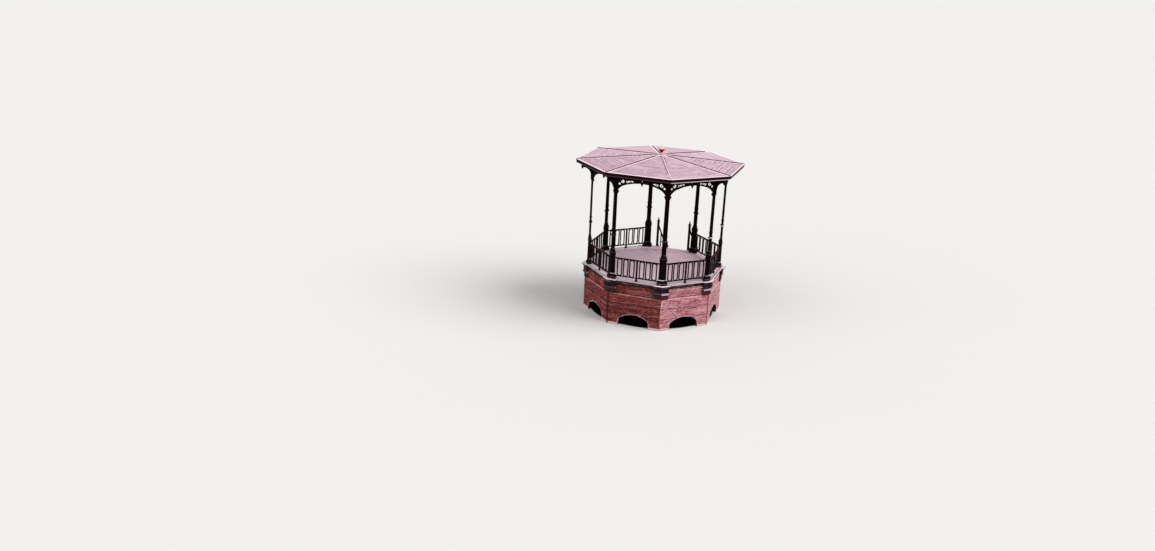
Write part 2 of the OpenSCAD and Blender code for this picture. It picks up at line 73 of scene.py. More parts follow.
def feed(tree, socket, value):
    if isinstance(value, bpy.types.NodeSocket):
        tree.links.new(value, socket)
    else:
        socket.default_value = value


def stretched(tree, place, scale, shift=(0, 0, 0)):
    node = tree.nodes.new("ShaderNodeMapping")
    node.inputs["Scale"].default_value = scale
    node.inputs["Location"].default_value = shift
    tree.links.new(place, node.inputs["Vector"])
    return node.outputs["Vector"]


def mottle(tree, place, scale, detail=4.0, rough=0.55, twist=0.0):
    node = tree.nodes.new("ShaderNodeTexNoise")
    node.inputs["Scale"].default_value = scale
    node.inputs["Detail"].default_value = detail
    node.inputs["Roughness"].default_value = rough
    node.inputs["Distortion"].default_value = twist
    tree.links.new(place, node.inputs["Vector"])
    return node.outputs["Fac"]


def calc(tree, operation, *values):
    node = tree.nodes.new("ShaderNodeMath")
    node.operation = operation
    for socket, value in zip(node.inputs, values):
        feed(tree, socket, value)
    return node.outputs["Value"]


def times(tree, first, *others):
    for other in others:
        first = calc(tree, "MULTIPLY", first, other)
    return first


def weighed(tree, *pairs):
    total = None
    for value, weight in pairs:
        share = calc(tree, "MULTIPLY", value, weight)
        total = share if total is None else calc(tree, "ADD", total, share)
    return total


def spread(tree, value, low, high, toLow=0.0, toHigh=1.0):
    node = tree.nodes.new("ShaderNodeMapRange")
    node.interpolation_type = "SMOOTHSTEP"
    for socket, number in zip(list(node.inputs)[:5], (value, low, high, toLow, toHigh)):
        feed(tree, socket, number)
    return node.outputs["Result"]


def blended(tree, amount, first, second):
    node = tree.nodes.new("ShaderNodeMix")
    node.data_type = "RGBA"
    feed(tree, node.inputs[0], amount)
    for socket, value in ((node.inputs[6], first), (node.inputs[7], second)):
        feed(tree, socket, (*value, 1.0) if isinstance(value, tuple) else value)
    return node.outputs[2]


def ramp(tree, value, stops):
    node = tree.nodes.new("ShaderNodeValToRGB")
    band = node.color_ramp
    while len(band.elements) < len(stops):
        band.elements.new(0.5)
    for element, (at, colour) in zip(band.elements, stops):
        element.position = at
        element.color = (*colour, 1.0)
    tree.links.new(value, node.inputs["Fac"])
    return node.outputs["Color"]


def relief(tree, shader, height, strength, depth):
    node = tree.nodes.new("ShaderNodeBump")
    node.inputs["Strength"].default_value = strength
    node.inputs["Distance"].default_value = depth * mm
    tree.links.new(height, node.inputs["Height"])
    tree.links.new(node.outputs["Normal"], shader.inputs["Normal"])


def faceValue(tree, name):
    node = tree.nodes.new("ShaderNodeAttribute")
    node.attribute_name = name
    return node.outputs["Fac"]


def flatMap(tree, name):
    # millimetres along and up a flat face, kept in the piece's own UV map
    node = tree.nodes.new("ShaderNodeUVMap")
    node.uv_map = name
    return node.outputs["UV"]


def parts(tree, vector):
    node = tree.nodes.new("ShaderNodeSeparateXYZ")
    tree.links.new(vector, node.inputs["Vector"])
    return node.outputs["X"], node.outputs["Y"], node.outputs["Z"]


def joined(tree, x, y, z=0.0):
    node = tree.nodes.new("ShaderNodeCombineXYZ")
    for socket, value in zip(node.inputs, (x, y, z)):
        feed(tree, socket, value)
    return node.outputs["Vector"]


def between(tree, value, low, high, soft):
    # 1 from low to high, fading out over the soft width on both sides
    return times(tree, spread(tree, value, low - soft, low), spread(tree, value, high + soft, high))


def facing(tree):
    return parts(tree, tree.nodes.new("ShaderNodeNewGeometry").outputs["Normal"])


def plus(tree, first, second):
    return calc(tree, "ADD", first, second)


def minus(tree, first, second):
    return calc(tree, "SUBTRACT", first, second)


def opposite(tree, value):
    return minus(tree, 1.0, value)


def absolute(tree, value):
    return calc(tree, "ABSOLUTE", value)


def larger(tree, first, second):
    return calc(tree, "MAXIMUM", first, second)


def lengthOf(tree, x, y):
    return calc(tree, "SQRT", plus(tree, times(tree, x, x), times(tree, y, y)))


def distanceTo(tree, place, point):
    node = tree.nodes.new("ShaderNodeVectorMath")
    node.operation = "DISTANCE"
    tree.links.new(place, node.inputs[0])
    node.inputs[1].default_value = point
    return node.outputs["Value"]


def spreadMm(tree, value, low, high, *shares):
    # the value is in metres, its two ends are in millimetres
    return spread(tree, value, low * mm, high * mm, *shares)


def spreadFrom(tree, value, start, low, high, *shares):
    # the value and the start are in metres, the two ends are millimetres from the start
    return spread(tree, value, start + low * mm, start + high * mm, *shares)


def clouded(tree, place, size, detail=3.0, rough=0.55):
    # spots of about this many millimetres
    return mottle(tree, place, 1 / (size * mm), detail, rough)


def swayed(tree, pattern, reach):
    # turns a pattern of 0 to 1 into a shift to both sides
    return times(tree, minus(tree, pattern, 0.5), reach)


def marked(tree, colour, marks, look):
    for amount, shadeOf in marks:
        colour = blended(tree, amount, colour, look[shadeOf])
    return colour


def dressed(tree, shader, look, colour, pattern, bumps):
    # the roughness follows the pattern, and the bumps are as strong and deep as the look says
    feed(tree, shader.inputs["Base Color"], colour)
    feed(tree, shader.inputs["Roughness"], spread(tree, pattern, 0.3, 0.7, *look["roughness"]))
    shader.inputs["Specular IOR Level"].default_value = look["specular"]
    relief(tree, shader, bumps, *look["relief"])


# Paints. The walls that face right are painted in paler colours as lit, the others in a deep red as in shade
# A mark's two numbers say where it begins and where it is full, and two more give its shares there

stoneLook = {
    "shadedRed": ((0.082, 0.015, 0.014), (0.250, 0.048, 0.044), (0.47, 0.125, 0.115)),
    "bleached": ((0.34, 0.088, 0.112), (0.62, 0.219, 0.260), (0.92, 0.45, 0.51)),
    "stops": (0.40, 0.495, 0.60), "joint": (0.036, 0.008, 0.009), "seam": (0.19, 0.036, 0.052),
    "lip": (0.88, 0.50, 0.50), "pale": (1.0, 0.69, 0.75), "foot": (1.0, 0.76, 0.74),
    # inside is near black: painted shade for the inner faces and for the shadow under the coping
    "inside": (0.006, 0.005, 0.005), "blot": (0.070, 0.034, 0.018), "grime": (0.10, 0.020, 0.020),
    "streakLength": 7.5, "streakHeight": 0.62, "seamStretch": (0.85, 0.62), "patch": 6.5, "grain": 0.17,
    "fleckLength": 1.9, "fleckHeight": 0.6, "toneShares": (0.33, 0.47, 0.14, 0.06), "blockShare": 0.022,
    "turnedRight": (0.80, 0.95), "rightShare": 0.28, "cracks": (0.395, 0.335),
    "crackShares": (0.30, 0.55, 0.45, 0.8), "flecks": (0.585, 0.66), "fleckShares": (0.25, 0.75),
    "footLine": (1.4, 1.1, 0.0, 0.95),
    "roughness": (0.66, 0.86), "specular": 0.12, "relief": (0.8, 0.30),
}


def byLitSide(tree, bleach, onRed, onLit):
    return spread(tree, bleach, 0.0, 1.0, onRed, onLit)


def stoneTone(tree, place):
    look = stoneLook
    flat, tall = 1 / (look["streakLength"] * mm), 1 / (look["streakHeight"] * mm)
    streaks = mottle(tree, stretched(tree, place, (flat, flat, tall)), 1.0, 5.0, 0.6, 0.6)
    wide, high = look["seamStretch"]
    longer = stretched(tree, place, (flat * wide, flat * wide, tall * high), (4, 7, 2))
    seams = mottle(tree, longer, 1.0, 2.0, 0.5, 1.2)
    patches = clouded(tree, place, look["patch"])
    grain = clouded(tree, place, look["grain"], 2.0, 0.7)
    flat, tall = 1 / (look["fleckLength"] * mm), 1 / (look["fleckHeight"] * mm)
    flecks = mottle(tree, stretched(tree, place, (flat, flat, tall), (2, 5, 3)), 1.0, 2.0, 0.6)
    return streaks, seams, patches, grain, flecks


courseLook = {
    # each line: from and to which height, colour, share on a shaded red and on a lit wall; the pale lines are
    # painted highlights along the courses, the dark ones joints
    "lines": ((18.05, 18.32, "lip", 0.24, 0.2), (18.08, 18.36, "pale", 0.0, 0.72),
              (18.66, 19.0, "joint", 0.75, 0.0), (18.66, 19.0, "seam", 0.0, 0.8),
              (13.15, 13.45, "lip", 0.0, 0.5), (12.58, 12.95, "joint", 0.85, 0.0),
              (12.58, 12.95, "seam", 0.0, 0.9), (6.55, 6.90, "joint", 0.5, 0.0),
              (6.55, 6.90, "seam", 0.0, 0.8), (7.10, 7.35, "lip", 0.0, 0.45),
              (22.8, 23.4, "pale", 0.0, 0.7), (21.45, 21.75, "lip", 0.0, 0.45),
              (21.0, 21.25, "seam", 0.0, 0.7), (15.4, 15.65, "joint", 0.35, 0.0)),
    "lineSoft": 0.12, "waver": 0.9, "breaks": (0.36, 0.52, 0.3, 1.0),
    "underCoping": (23.9, 24.35), "underSoft": 0.06, "underShare": 0.97,
    "crownCentre": -7.0, "crownRadius": 14.0, "sideCentre": 5.6, "jamb": 2.0, "sideRadius": 3.4,
    "rim": 0.42, "rimSoft": 0.15, "rimShares": (0.75, 0.9),
    "slants": ((-8.6, 11.9, -3.4, 7.2, 0.75), (5.6, 11.2, 3.9, 7.3, 0.35)), "slantShares": (0.05, 1.0),
    # beside each slanting joint: from, to, softness, colour and share
    "slantLines": ((-0.16, 0.14, 0.12, "pale", 1.0), (0.34, 0.56, 0.10, "seam", 0.7),
                   (0.92, 1.10, 0.10, "pale", 0.55)),
    "wornArris": ((-12.6, 18.2, -14.6, 16.8), (-14.6, 16.9, -14.9, 14.3), (-14.9, 14.4, -15.9, 12.5)),
    "wornWidth": 0.2, "wornSoft": 0.1, "wornShare": 0.9,
}


def archDistance(tree, along, up):
    # millimetres from the edge of the arch, whose crown and sides are arcs of two sizes
    look = courseLook
    rise = minus(tree, up, look["crownCentre"])
    span = absolute(tree, along)
    crown = minus(tree, lengthOf(tree, along, rise), look["crownRadius"])
    x = minus(tree, span, look["sideCentre"])
    z = larger(tree, minus(tree, up, look["jamb"]), 0.0)
    flank = minus(tree, lengthOf(tree, x, z), look["sideRadius"])
    slope = look["sideCentre"] / (look["jamb"] - look["crownCentre"])
    onFlank = calc(tree, "GREATER_THAN", span, times(tree, rise, slope))
    return weighed(tree, (flank, onFlank), (crown, opposite(tree, onFlank)))


def slantMap(tree, along, up, x0, z0, x1, z1):
    # how far a line on the wall reaches, and millimetres beside it
    run = math.hypot(x1 - x0, z1 - z0)
    ax, az = (x1 - x0) / run, (z1 - z0) / run
    right, above = minus(tree, along, x0), minus(tree, up, z0)
    onward = weighed(tree, (right, ax), (above, az))
    return between(tree, onward, 0.0, run, 0.3), weighed(tree, (right, -az), (above, ax))


def courseMarks(tree, along, up, bleach, wornAndLit):
    # joints and pale lips along the courses, the lips painted as highlights; a painted shadow under the
    # coping; slanting wedge joints with painted highlights beside them; the worn corner of the lit wall; a
    # pale rim round the arch, worn and painted as a highlight
    look = courseLook
    sway = mottle(tree, joined(tree, times(tree, along, 0.22), 3.0), 1.0, 3.0)
    level = plus(tree, up, swayed(tree, sway, look["waver"]))
    breaks = mottle(tree, joined(tree, times(tree, along, 0.45), times(tree, up, 0.25)), 1.0, 3.0)
    broken = spread(tree, breaks, *look["breaks"])
    marks = []
    for low, high, shadeOf, onRed, onLit in look["lines"]:
        line = between(tree, level, low, high, look["lineSoft"])
        marks.append((times(tree, line, broken, byLitSide(tree, bleach, onRed, onLit)), shadeOf))
    # a painted shadow under the coping, reaching lower on the shaded walls
    above = minus(tree, up, byLitSide(tree, bleach, *look["underCoping"]))
    under = spread(tree, above, -look["underSoft"], look["underSoft"])
    marks.append((times(tree, under, look["underShare"]), "inside"))
    arched = faceValue(tree, "archedWall")
    for x0, z0, x1, z1, much in look["slants"]:
        length, aside = slantMap(tree, along, up, x0, z0, x1, z1)
        length = times(tree, length, arched)
        paler = times(tree, byLitSide(tree, bleach, *look["slantShares"]), much)
        for low, high, soft, shadeOf, share in look["slantLines"]:
            line = between(tree, aside, low, high, soft)
            marks.append((times(tree, line, length, paler, share), shadeOf))
    atArris = times(tree, spread(tree, faceValue(tree, "plainCorner"), -0.4, -0.6), bleach)
    for ends in look["wornArris"]:
        length, aside = slantMap(tree, along, up, *ends)
        line = between(tree, aside, -look["wornWidth"], look["wornWidth"], look["wornSoft"])
        marks.append((times(tree, line, length, atArris, look["wornShare"]), "pale"))
    rim = spread(tree, archDistance(tree, along, up), look["rim"] + look["rimSoft"], look["rim"])
    marks.append((times(tree, rim, arched, wornAndLit, byLitSide(tree, bleach, *look["rimShares"])), "lip"))
    return marks


wallWearAndLight = {
    "dash": 0.9, "dashesUp": 0.8, "patch": 2.4, "wornAndLit": (0.34, 0.56, 0.35, 0.95),
    "grimeFrom": (14.2, 15.1), "grimeDashes": (0.42, 0.56, 0.15, 0.8), "grimeShares": (1.0, 0.45),
    "arris": (0.62, 0.42), "arrisDashes": (0.36, 0.55, 0.25, 0.95), "arrisShares": (1.0, 0.6),
    "chipDashes": (0.44, 0.56, 0.05, 0.75), "chipFoot": (11.8, 12.6), "chipTop": (18.0, 17.2),
    "corbelFrom": (9.0, 10.6), "corbelFoot": (18.3, 18.7), "corbelDashes": (0.36, 0.6, 0.25, 0.85),
    "levelJoint": (0.15, 0.45, 0.10, 1.0), "topCourse": (18.7, 19.0), "topShares": (0.85, 0.1),
    "litJoint": (0.25, 0.6), "litShares": (0.06, 0.85),
}


def wallMarks(tree, place, bleach, upwards):
    # grime, dark lines and chips at the corners, dark brown blots round the corbels, the joints cut into the
    # wall with their upward faces painted pale as highlights, and the inner faces painted near black as shade
    look = wallWearAndLight
    along, up, _ = parts(tree, flatMap(tree, "wallMap"))
    corner = faceValue(tree, "plainCorner")
    aside = absolute(tree, along)
    ownCorner = spread(tree, times(tree, along, corner), 0.0, 1.0)
    dashes = clouded(tree, place, look["dash"], 2.0)
    dashed = mottle(tree, joined(tree, times(tree, up, look["dashesUp"]), corner), 1.0, 2.0)
    grime = times(tree, spread(tree, aside, *look["grimeFrom"]), spread(tree, dashes, *look["grimeDashes"]))
    grime = times(tree, grime, byLitSide(tree, bleach, *look["grimeShares"]), opposite(tree, ownCorner))
    low, high = look["arris"]
    edge = spread(tree, aside, wallHalf - low, wallHalf - high)
    arris = times(tree, edge, spread(tree, dashed, *look["arrisDashes"]), opposite(tree, ownCorner))
    arris = times(tree, arris, byLitSide(tree, bleach, *look["arrisShares"]))
    chipped = times(tree, edge, ownCorner, spread(tree, dashed, *look["chipDashes"]), bleach)
    chipped = times(tree, chipped, spread(tree, up, *look["chipFoot"]), spread(tree, up, *look["chipTop"]))
    corbel = times(tree, spread(tree, aside, *look["corbelFrom"]), spread(tree, up, *look["corbelFoot"]))
    corbel = times(tree, corbel, spread(tree, dashes, *look["corbelDashes"]))
    joint = faceValue(tree, "jointFace")
    wornAndLit = spread(tree, clouded(tree, place, look["patch"]), *look["wornAndLit"])
    level = spread(tree, absolute(tree, upwards), *look["levelJoint"])
    topCourse = times(tree, spread(tree, up, *look["topCourse"]), byLitSide(tree, bleach, *look["topShares"]))
    carved = times(tree, joint, wornAndLit, larger(tree, level, topCourse))
    lit = times(tree, joint, spread(tree, upwards, *look["litJoint"]))
    lit = times(tree, lit, byLitSide(tree, bleach, *look["litShares"]))
    lip = times(tree, faceValue(tree, "lipFace"), wornAndLit)
    return [(grime, "grime"), (arris, "joint"), (chipped, "pale"), (corbel, "blot"), (carved, "joint"),
            (lit, "lip"), *courseMarks(tree, along, up, bleach, wornAndLit), (lip, "lip"),
            (faceValue(tree, "insideFace"), "inside")]


def stonePaint(name, carved):
    look = stoneLook
    paint, tree, shader, place = newPaint(name)
    streaks, seams, patches, grain, flecks = stoneTone(tree, place)
    tone = weighed(tree, *zip((streaks, flecks, patches, grain), look["toneShares"]))
    if carved:
        tone = plus(tree, tone, times(tree, faceValue(tree, "blockTone"), look["blockShare"]))
    sideways, _, upwards = facing(tree)
    bleach = faceValue(tree, "bleached") if carved else spread(tree, sideways, 0.25, 0.6)
    # the same stone in two colours: painted shade on the deep red walls, painted light on the walls that face
    # right
    shadedRed = ramp(tree, tone, list(zip(look["stops"], look["shadedRed"])))
    bleached = ramp(tree, tone, list(zip(look["stops"], look["bleached"])))
    # the wall that faces right is painted paler still as lit, and the pale flecks are stronger on the lit
    # walls as painted highlights
    right = times(tree, spread(tree, sideways, *look["turnedRight"]), bleach, look["rightShare"])
    crack = times(tree, spread(tree, seams, *look["cracks"]), spread(tree, grain, *look["crackShares"]))
    fleck = times(tree, spread(tree, seams, *look["flecks"]), byLitSide(tree, bleach, *look["fleckShares"]))
    foot = spreadMm(tree, parts(tree, place)[2], *look["footLine"])
    marks = [(right, "lip"), (crack, "joint"), (fleck, "lip"), (foot, "foot")]
    if carved:
        marks += wallMarks(tree, place, bleach, upwards)
    colour = marked(tree, blended(tree, bleach, shadedRed, bleached), marks, look)
    bumps = weighed(tree, (streaks, 1.0), (seams, 0.8), (grain, 0.22))
    dressed(tree, shader, look, colour, streaks, bumps)
    return paint


corbelLook = {
    "topStage": (0.040, 0.016, 0.028), "band": (0.125, 0.075, 0.092), "bandLit": (1.0, 0.80, 0.90),
    "lowStage": (0.066, 0.026, 0.021), "lowLit": (0.115, 0.020, 0.032), "line": (0.006, 0.003, 0.005),
    "lineFoot": (20.90, 20.95), "bandFoot": (21.20, 21.30), "topFoot": (22.33, 22.45), "ragged": 0.5,
    "turnedRight": (0.2, 0.7), "redStreaks": (0.52, 0.66, 0.0, 0.4), "bandSpecks": (0.35, 0.6, 0.5, 0.0),
    "topPatches": (0.4, 0.62, 0.0, 0.7), "roughness": (0.55, 0.75), "specular": 0.04, "relief": (0.5, 0.14),
}


def corbelPaint(name):
    # a low stage with red streaks, a dark line of painted shadow under a pale band, and a top stage painted
    # dark as the coping's shade; the faces turned right take paler, lit colours, and the undersides are
    # painted dark as shade
    look = corbelLook
    paint, tree, shader, place = newPaint(name)
    streaks, _, patches, grain, _ = stoneTone(tree, place)
    sideways, _, upwards = facing(tree)
    bleach = spread(tree, sideways, *look["turnedRight"])
    height = plus(tree, parts(tree, place)[2], swayed(tree, patches, look["ragged"] * mm))
    colour = blended(tree, bleach, look["lowStage"], look["lowLit"])
    colour = blended(tree, spread(tree, streaks, *look["redStreaks"]), colour, stoneLook["shadedRed"][1])
    band = blended(tree, bleach, look["band"], look["bandLit"])
    band = blended(tree, spread(tree, grain, *look["bandSpecks"]), band, look["topStage"])
    top = blended(tree, spread(tree, patches, *look["topPatches"]), look["topStage"], look["line"])
    for foot, shade in (("lineFoot", look["line"]), ("bandFoot", band), ("topFoot", top)):
        colour = blended(tree, spreadMm(tree, height, *look[foot]), colour, shade)
    colour = blended(tree, spread(tree, upwards, -0.3, -0.7), colour, look["line"])
    dressed(tree, shader, look, colour, patches, weighed(tree, (streaks, 1.0), (grain, 0.3)))
    return paint


lilacLook = {
    "shade": (0.42, 0.262, 0.330), "body": (0.595, 0.400, 0.475), "light": (0.78, 0.575, 0.660),
    # the next dark colour is for the deck's stain and for undersides painted dark as shade
    "stainAndShade": (0.135, 0.058, 0.072), "line": (0.29, 0.160, 0.215), "bright": (0.97, 0.80, 0.86),
    "white": (1.0, 0.88, 0.93), "hip": (0.098, 0.012, 0.038), "dusk": (0.036, 0.010, 0.014),
    "rim": (1.0, 0.79, 0.87), "black": (0.011, 0.003, 0.004),
    "tones": ((0.405, "shade"), (0.50, "body"), (0.595, "light")),
    "patch": 7.0, "cloud": 1.3, "speck": 0.38, "grain": 0.13, "shares": (0.45, 0.35, 0.2),
    "rowLength": 6.5, "rowHeight": 0.75, "rowShares": (0.30, 0.34, 0.36), "sheetShare": 0.035,
    "roughness": (0.45, 0.62), "specular": 0.10, "relief": (0.35, 0.07),
}


def lilacPaint(name, marks, inSheets=False):
    look = lilacLook
    paint, tree, shader, place = newPaint(name)
    patches = clouded(tree, place, look["patch"], 5.0, 0.6)
    specks = clouded(tree, place, look["speck"], 3.0, 0.7)
    grain = clouded(tree, place, look["grain"], 2.0)
    clouds = clouded(tree, place, look["cloud"], 3.0, 0.6)
    if inSheets:
        size = (1 / look["rowLength"], 1 / look["rowHeight"], 1.0)
        rows = mottle(tree, stretched(tree, flatMap(tree, "sheetMap"), size), 1.0, 3.0, 0.6, 0.3)
        tone = weighed(tree, *zip((patches, clouds, rows), look["rowShares"]))
        tone = plus(tree, tone, times(tree, faceValue(tree, "blockTone"), look["sheetShare"]))
    else:
        tone = weighed(tree, *zip((patches, clouds, specks), look["shares"]))
    colour = ramp(tree, tone, [(at, look[key]) for at, key in look["tones"]])
    colour = marked(tree, colour, marks(tree, place), look)
    dressed(tree, shader, look, colour, patches, weighed(tree, (specks, 1.0), (grain, 0.4)))
    return paint


roofMarks = {
    "linePitch": 2.13, "lineWidth": 0.30, "lineSoft": 0.07, "lineBreaks": (0.36, 0.62, 0.15, 1.0),
    "spot": 2.2, "hipDark": (0.58, 0.36), "darkSpots": (0.32, 0.55, 0.6, 1.0),
    "darkFrom": (2.5, 6.0, 0.2, 1.0), "farEnd": (40, 37), "thinLine": (0.5, 0.85, 0.12),
    "thinEnd": (36.0, 28.0), "thinShare": 0.7, "hipPale": (2.1, 1.05), "paleSpots": (0.32, 0.6, 0.5, 1.0),
    "edge": (1.75, 1.0), "edgeShare": 0.95, "edgeRagged": 1.2, "sunShare": 0.5,
}


def roofMarksAndShading(tree, place):
    # facets painted lighter as sunlit, lines between the sheets, dark bands of painted shade with pale
    # margins along the hips, a bright edge at the eaves, worn and painted as a highlight, and the rims
    # painted dark
    look = roofMarks
    along, out, _ = parts(tree, flatMap(tree, "sheetMap"))
    hipSide = faceValue(tree, "hipSide")
    row = calc(tree, "DIVIDE", minus(tree, roofReach, out), look["linePitch"])
    number = calc(tree, "ROUND", row)
    half = look["lineWidth"] / look["linePitch"]
    seam = spread(tree, absolute(tree, minus(tree, row, number)), half + look["lineSoft"], half * 0.5)
    ownPlace = joined(tree, times(tree, number, 0.73), times(tree, along, 0.06), hipSide)
    broken = spread(tree, mottle(tree, ownPlace, 1.0, 2.0), *look["lineBreaks"])
    seam = times(tree, seam, broken, faceValue(tree, "lineTone"))
    toHip = minus(tree, times(tree, out, math.tan(sideTurn / 2)), absolute(tree, along))
    plain = spread(tree, times(tree, along, hipSide), 0.2, 0.4)
    banded = opposite(tree, plain)
    spots = clouded(tree, place, look["spot"])
    # dark bands painted along the hips as the rolls' shade, left off at the far end
    band = times(tree, spread(tree, toHip, *look["hipDark"]), spread(tree, spots, *look["darkSpots"]), banded)
    farEnd = spreadFrom(tree, parts(tree, place)[1], middleY, *look["farEnd"])
    band = times(tree, band, spread(tree, out, *look["darkFrom"]), farEnd)
    # a thin painted shadow along one side of the roll over the front column
    thin = times(tree, between(tree, toHip, *look["thinLine"]), plain, spread(tree, out, *look["thinEnd"]))
    thin = times(tree, thin, look["thinShare"])
    pale = times(tree, spread(tree, toHip, *look["hipPale"]), spread(tree, spots, *look["paleSpots"]), banded)
    ragged = swayed(tree, spots, look["edgeRagged"])
    inward = weighed(tree, (out, 1.0), (faceValue(tree, "edgeShift"), 1.0), (ragged, 1.0))
    low, high = look["edge"]
    edge = spread(tree, inward, roofReach - low, roofReach - high, 0.0, look["edgeShare"])
    upwards = facing(tree)[2]
    # the undersides are painted dark as shade
    rim, under = spread(tree, upwards, 0.6, 0.3), spread(tree, upwards, -0.3, -0.7)
    sunlit = times(tree, faceValue(tree, "sunTone"), look["sunShare"])
    return [(sunlit, "light"), (seam, "line"), (pale, "bright"), (thin, "hip"), (edge, "white"),
            (band, "hip"), (rim, "dusk"), (under, "stainAndShade")]


def fromMiddle(tree, place):
    x, y, _ = parts(tree, place)
    return x, minus(tree, y, middleY)


def sideReach(tree, place):
    # how far out a point lies, measured towards the nearest of the eight sides
    x, back = fromMiddle(tree, place)
    reach = larger(tree, absolute(tree, x), absolute(tree, back))
    slant = math.sqrt(0.5)
    for sign in (-1, 1):
        reach = larger(tree, reach, absolute(tree, weighed(tree, (x, slant), (back, slant * sign))))
    return reach


copingMarks = {
    "edge": 0.85,       # before the face of the wall; groove, lip, block and inner are measured from there
    "groove": (-1.4, -1.0, 0.1), "grooveShare": 0.9, "lip": (-0.6, -0.4, 0.0, 0.9),
    "block": (0.1, 0.3, 0.0, 0.9), "inner": (-2.2, -2.8), "innerShare": 0.85,
    "fore": (6, -14), "left": (-4, -24, 0.0, 0.95), "body": 0.40,
    "belowDeck": (-0.01, -0.07), "blot": 3.5, "blotShares": (0.35, 0.6, 0.75, 1.0), "spot": 3.0,
    "breaks": (0.36, 0.58, 0.3, 1.0),
}


def copingMarksAndShading(tree, place):
    # a pale painted highlight along the lip, the inner flat at the front and the top towards the left painted
    # paler as lit, dark in the groove, the sides under the lip painted dark as shade in blots, white on the
    # corner blocks
    look = copingMarks
    x, y, height = parts(tree, place)
    up = facing(tree)[2]
    flat = spread(tree, up, 0.9, 0.97)
    reach = sideReach(tree, place)
    edge = (wallReach + look["edge"]) * mm
    # the sides under the lip are painted dark as shade, in blots
    dusk = times(tree, spreadFrom(tree, height, deckHigh.z, *look["belowDeck"]), spread(tree, up, 0.9, 0.7))
    dusk = times(tree, dusk, spread(tree, clouded(tree, place, look["blot"]), *look["blotShares"]))
    left = spreadMm(tree, x, *look["left"])
    broken = spread(tree, clouded(tree, place, look["spot"]), *look["breaks"])
    low, high, soft = look["groove"]
    groove = between(tree, reach, edge + low * mm, edge + high * mm, soft * mm)
    groove = times(tree, groove, flat, broken, look["grooveShare"])
    lip = times(tree, spreadFrom(tree, reach, edge, *look["lip"]), spread(tree, up, 0.8, 0.9))
    block = times(tree, spreadFrom(tree, reach, edge, *look["block"]), flat)
    fore = spreadFrom(tree, y, middleY, *look["fore"])
    inner = times(tree, spreadFrom(tree, reach, edge, *look["inner"]), fore, look["innerShare"])
    return [(look["body"], "light"), (inner, "rim"), (left, "bright"), (groove, "hip"), (lip, "rim"),
            (block, "white"), (dusk, "black")]


deckMarks = {
    "stainFrom": (6, -8), "stainReach": (13, 3), "blotch": (180, 420, 300),
    "blotches": (0.44, 0.62, 0.0, 0.5), "foreLean": 0.45, "fore": (14, -24), "foreShare": 0.36,
    "outer": (-16, -5), "outerShare": 0.85, "body": 0.6,
}


def deckStainAndShading(tree, place):
    # painted paler towards the front and the outer edge as lit, with a damp stain by the foot of one column,
    # and the underside painted dark as shade
    look = deckMarks
    low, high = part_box("column_back_left")
    right, behind = look["stainFrom"]
    centre = ((low.x + high.x) / 2 + right * mm, (low.y + high.y) / 2 + behind * mm, deckHigh.z)
    near = spreadMm(tree, distanceTo(tree, place, centre), *look["stainReach"])
    blotches = mottle(tree, stretched(tree, place, look["blotch"]), 1.0, 4.0)
    blot = times(tree, near, spread(tree, blotches, *look["blotches"]))
    under = spread(tree, facing(tree)[2], -0.3, -0.7)
    x, y, _ = parts(tree, place)
    fore = spreadFrom(tree, weighed(tree, (y, 1.0), (x, look["foreLean"])), middleY, *look["fore"])
    outer = spreadFrom(tree, sideReach(tree, place), wallReach * mm, *look["outer"])
    return [(look["body"], "light"), (times(tree, fore, look["foreShare"]), "rim"),
            (times(tree, fore, outer, look["outerShare"]), "white"), (blot, "stainAndShade"), (under, "stainAndShade")]


ribMarks = {
    "frontRollAhead": (0.0, 0.5), "frontRollRight": (0.0, 0.3), "tip": (-1.3, -0.9, 0.0, 0.6), "spot": 1.6,
    "spots": (0.32, 0.6, 0.8, 1.0), "peak": (3, 7, 0.2, 1.0), "crest": (0.28, 0.18, 0.25, 0.8),
}


def ribShading(tree, place):
    # rolls painted dark as shade, with a pale painted highlight along the crest; the roll over the front
    # column is left unshaded; all end pale
    look = ribMarks
    x, back = fromMiddle(tree, place)
    reach = lengthOf(tree, x, back)
    ahead = minus(tree, times(tree, back, -1.0), x)
    wornAndLit = times(tree, spreadMm(tree, ahead, *look["frontRollAhead"]), spreadMm(tree, x, *look["frontRollRight"]))
    tip = spreadFrom(tree, reach, roofCorner * mm, *look["tip"])
    spots = spread(tree, clouded(tree, place, look["spot"]), *look["spots"])
    dark = times(tree, opposite(tree, larger(tree, wornAndLit, tip)), spots, spreadMm(tree, reach, *look["peak"]))
    turn = sideTurn / 2
    aside = absolute(tree, weighed(tree, (x, math.cos(turn)), (back, math.sin(turn))))
    return [(spreadMm(tree, aside, *look["crest"]), "bright"), (dark, "hip")]


soffitMarks = {"edge": (0.42, 0.32), "turnedRight": (-0.1, 0.6, 0.0, 0.9)}


def soffitShading(tree, place):
    # painted dark as shade, with a pale painted highlight along the lower edge on the sides that face right
    look = soffitMarks
    sideways, _, upwards = facing(tree)
    lit = spreadFrom(tree, parts(tree, place)[2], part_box("roof_soffit")[0].z, *look["edge"])
    lit = times(tree, lit, spread(tree, sideways, *look["turnedRight"]), spread(tree, upwards, -0.5, -0.1))
    return [(1.0, "dusk"), (lit, "bright")]


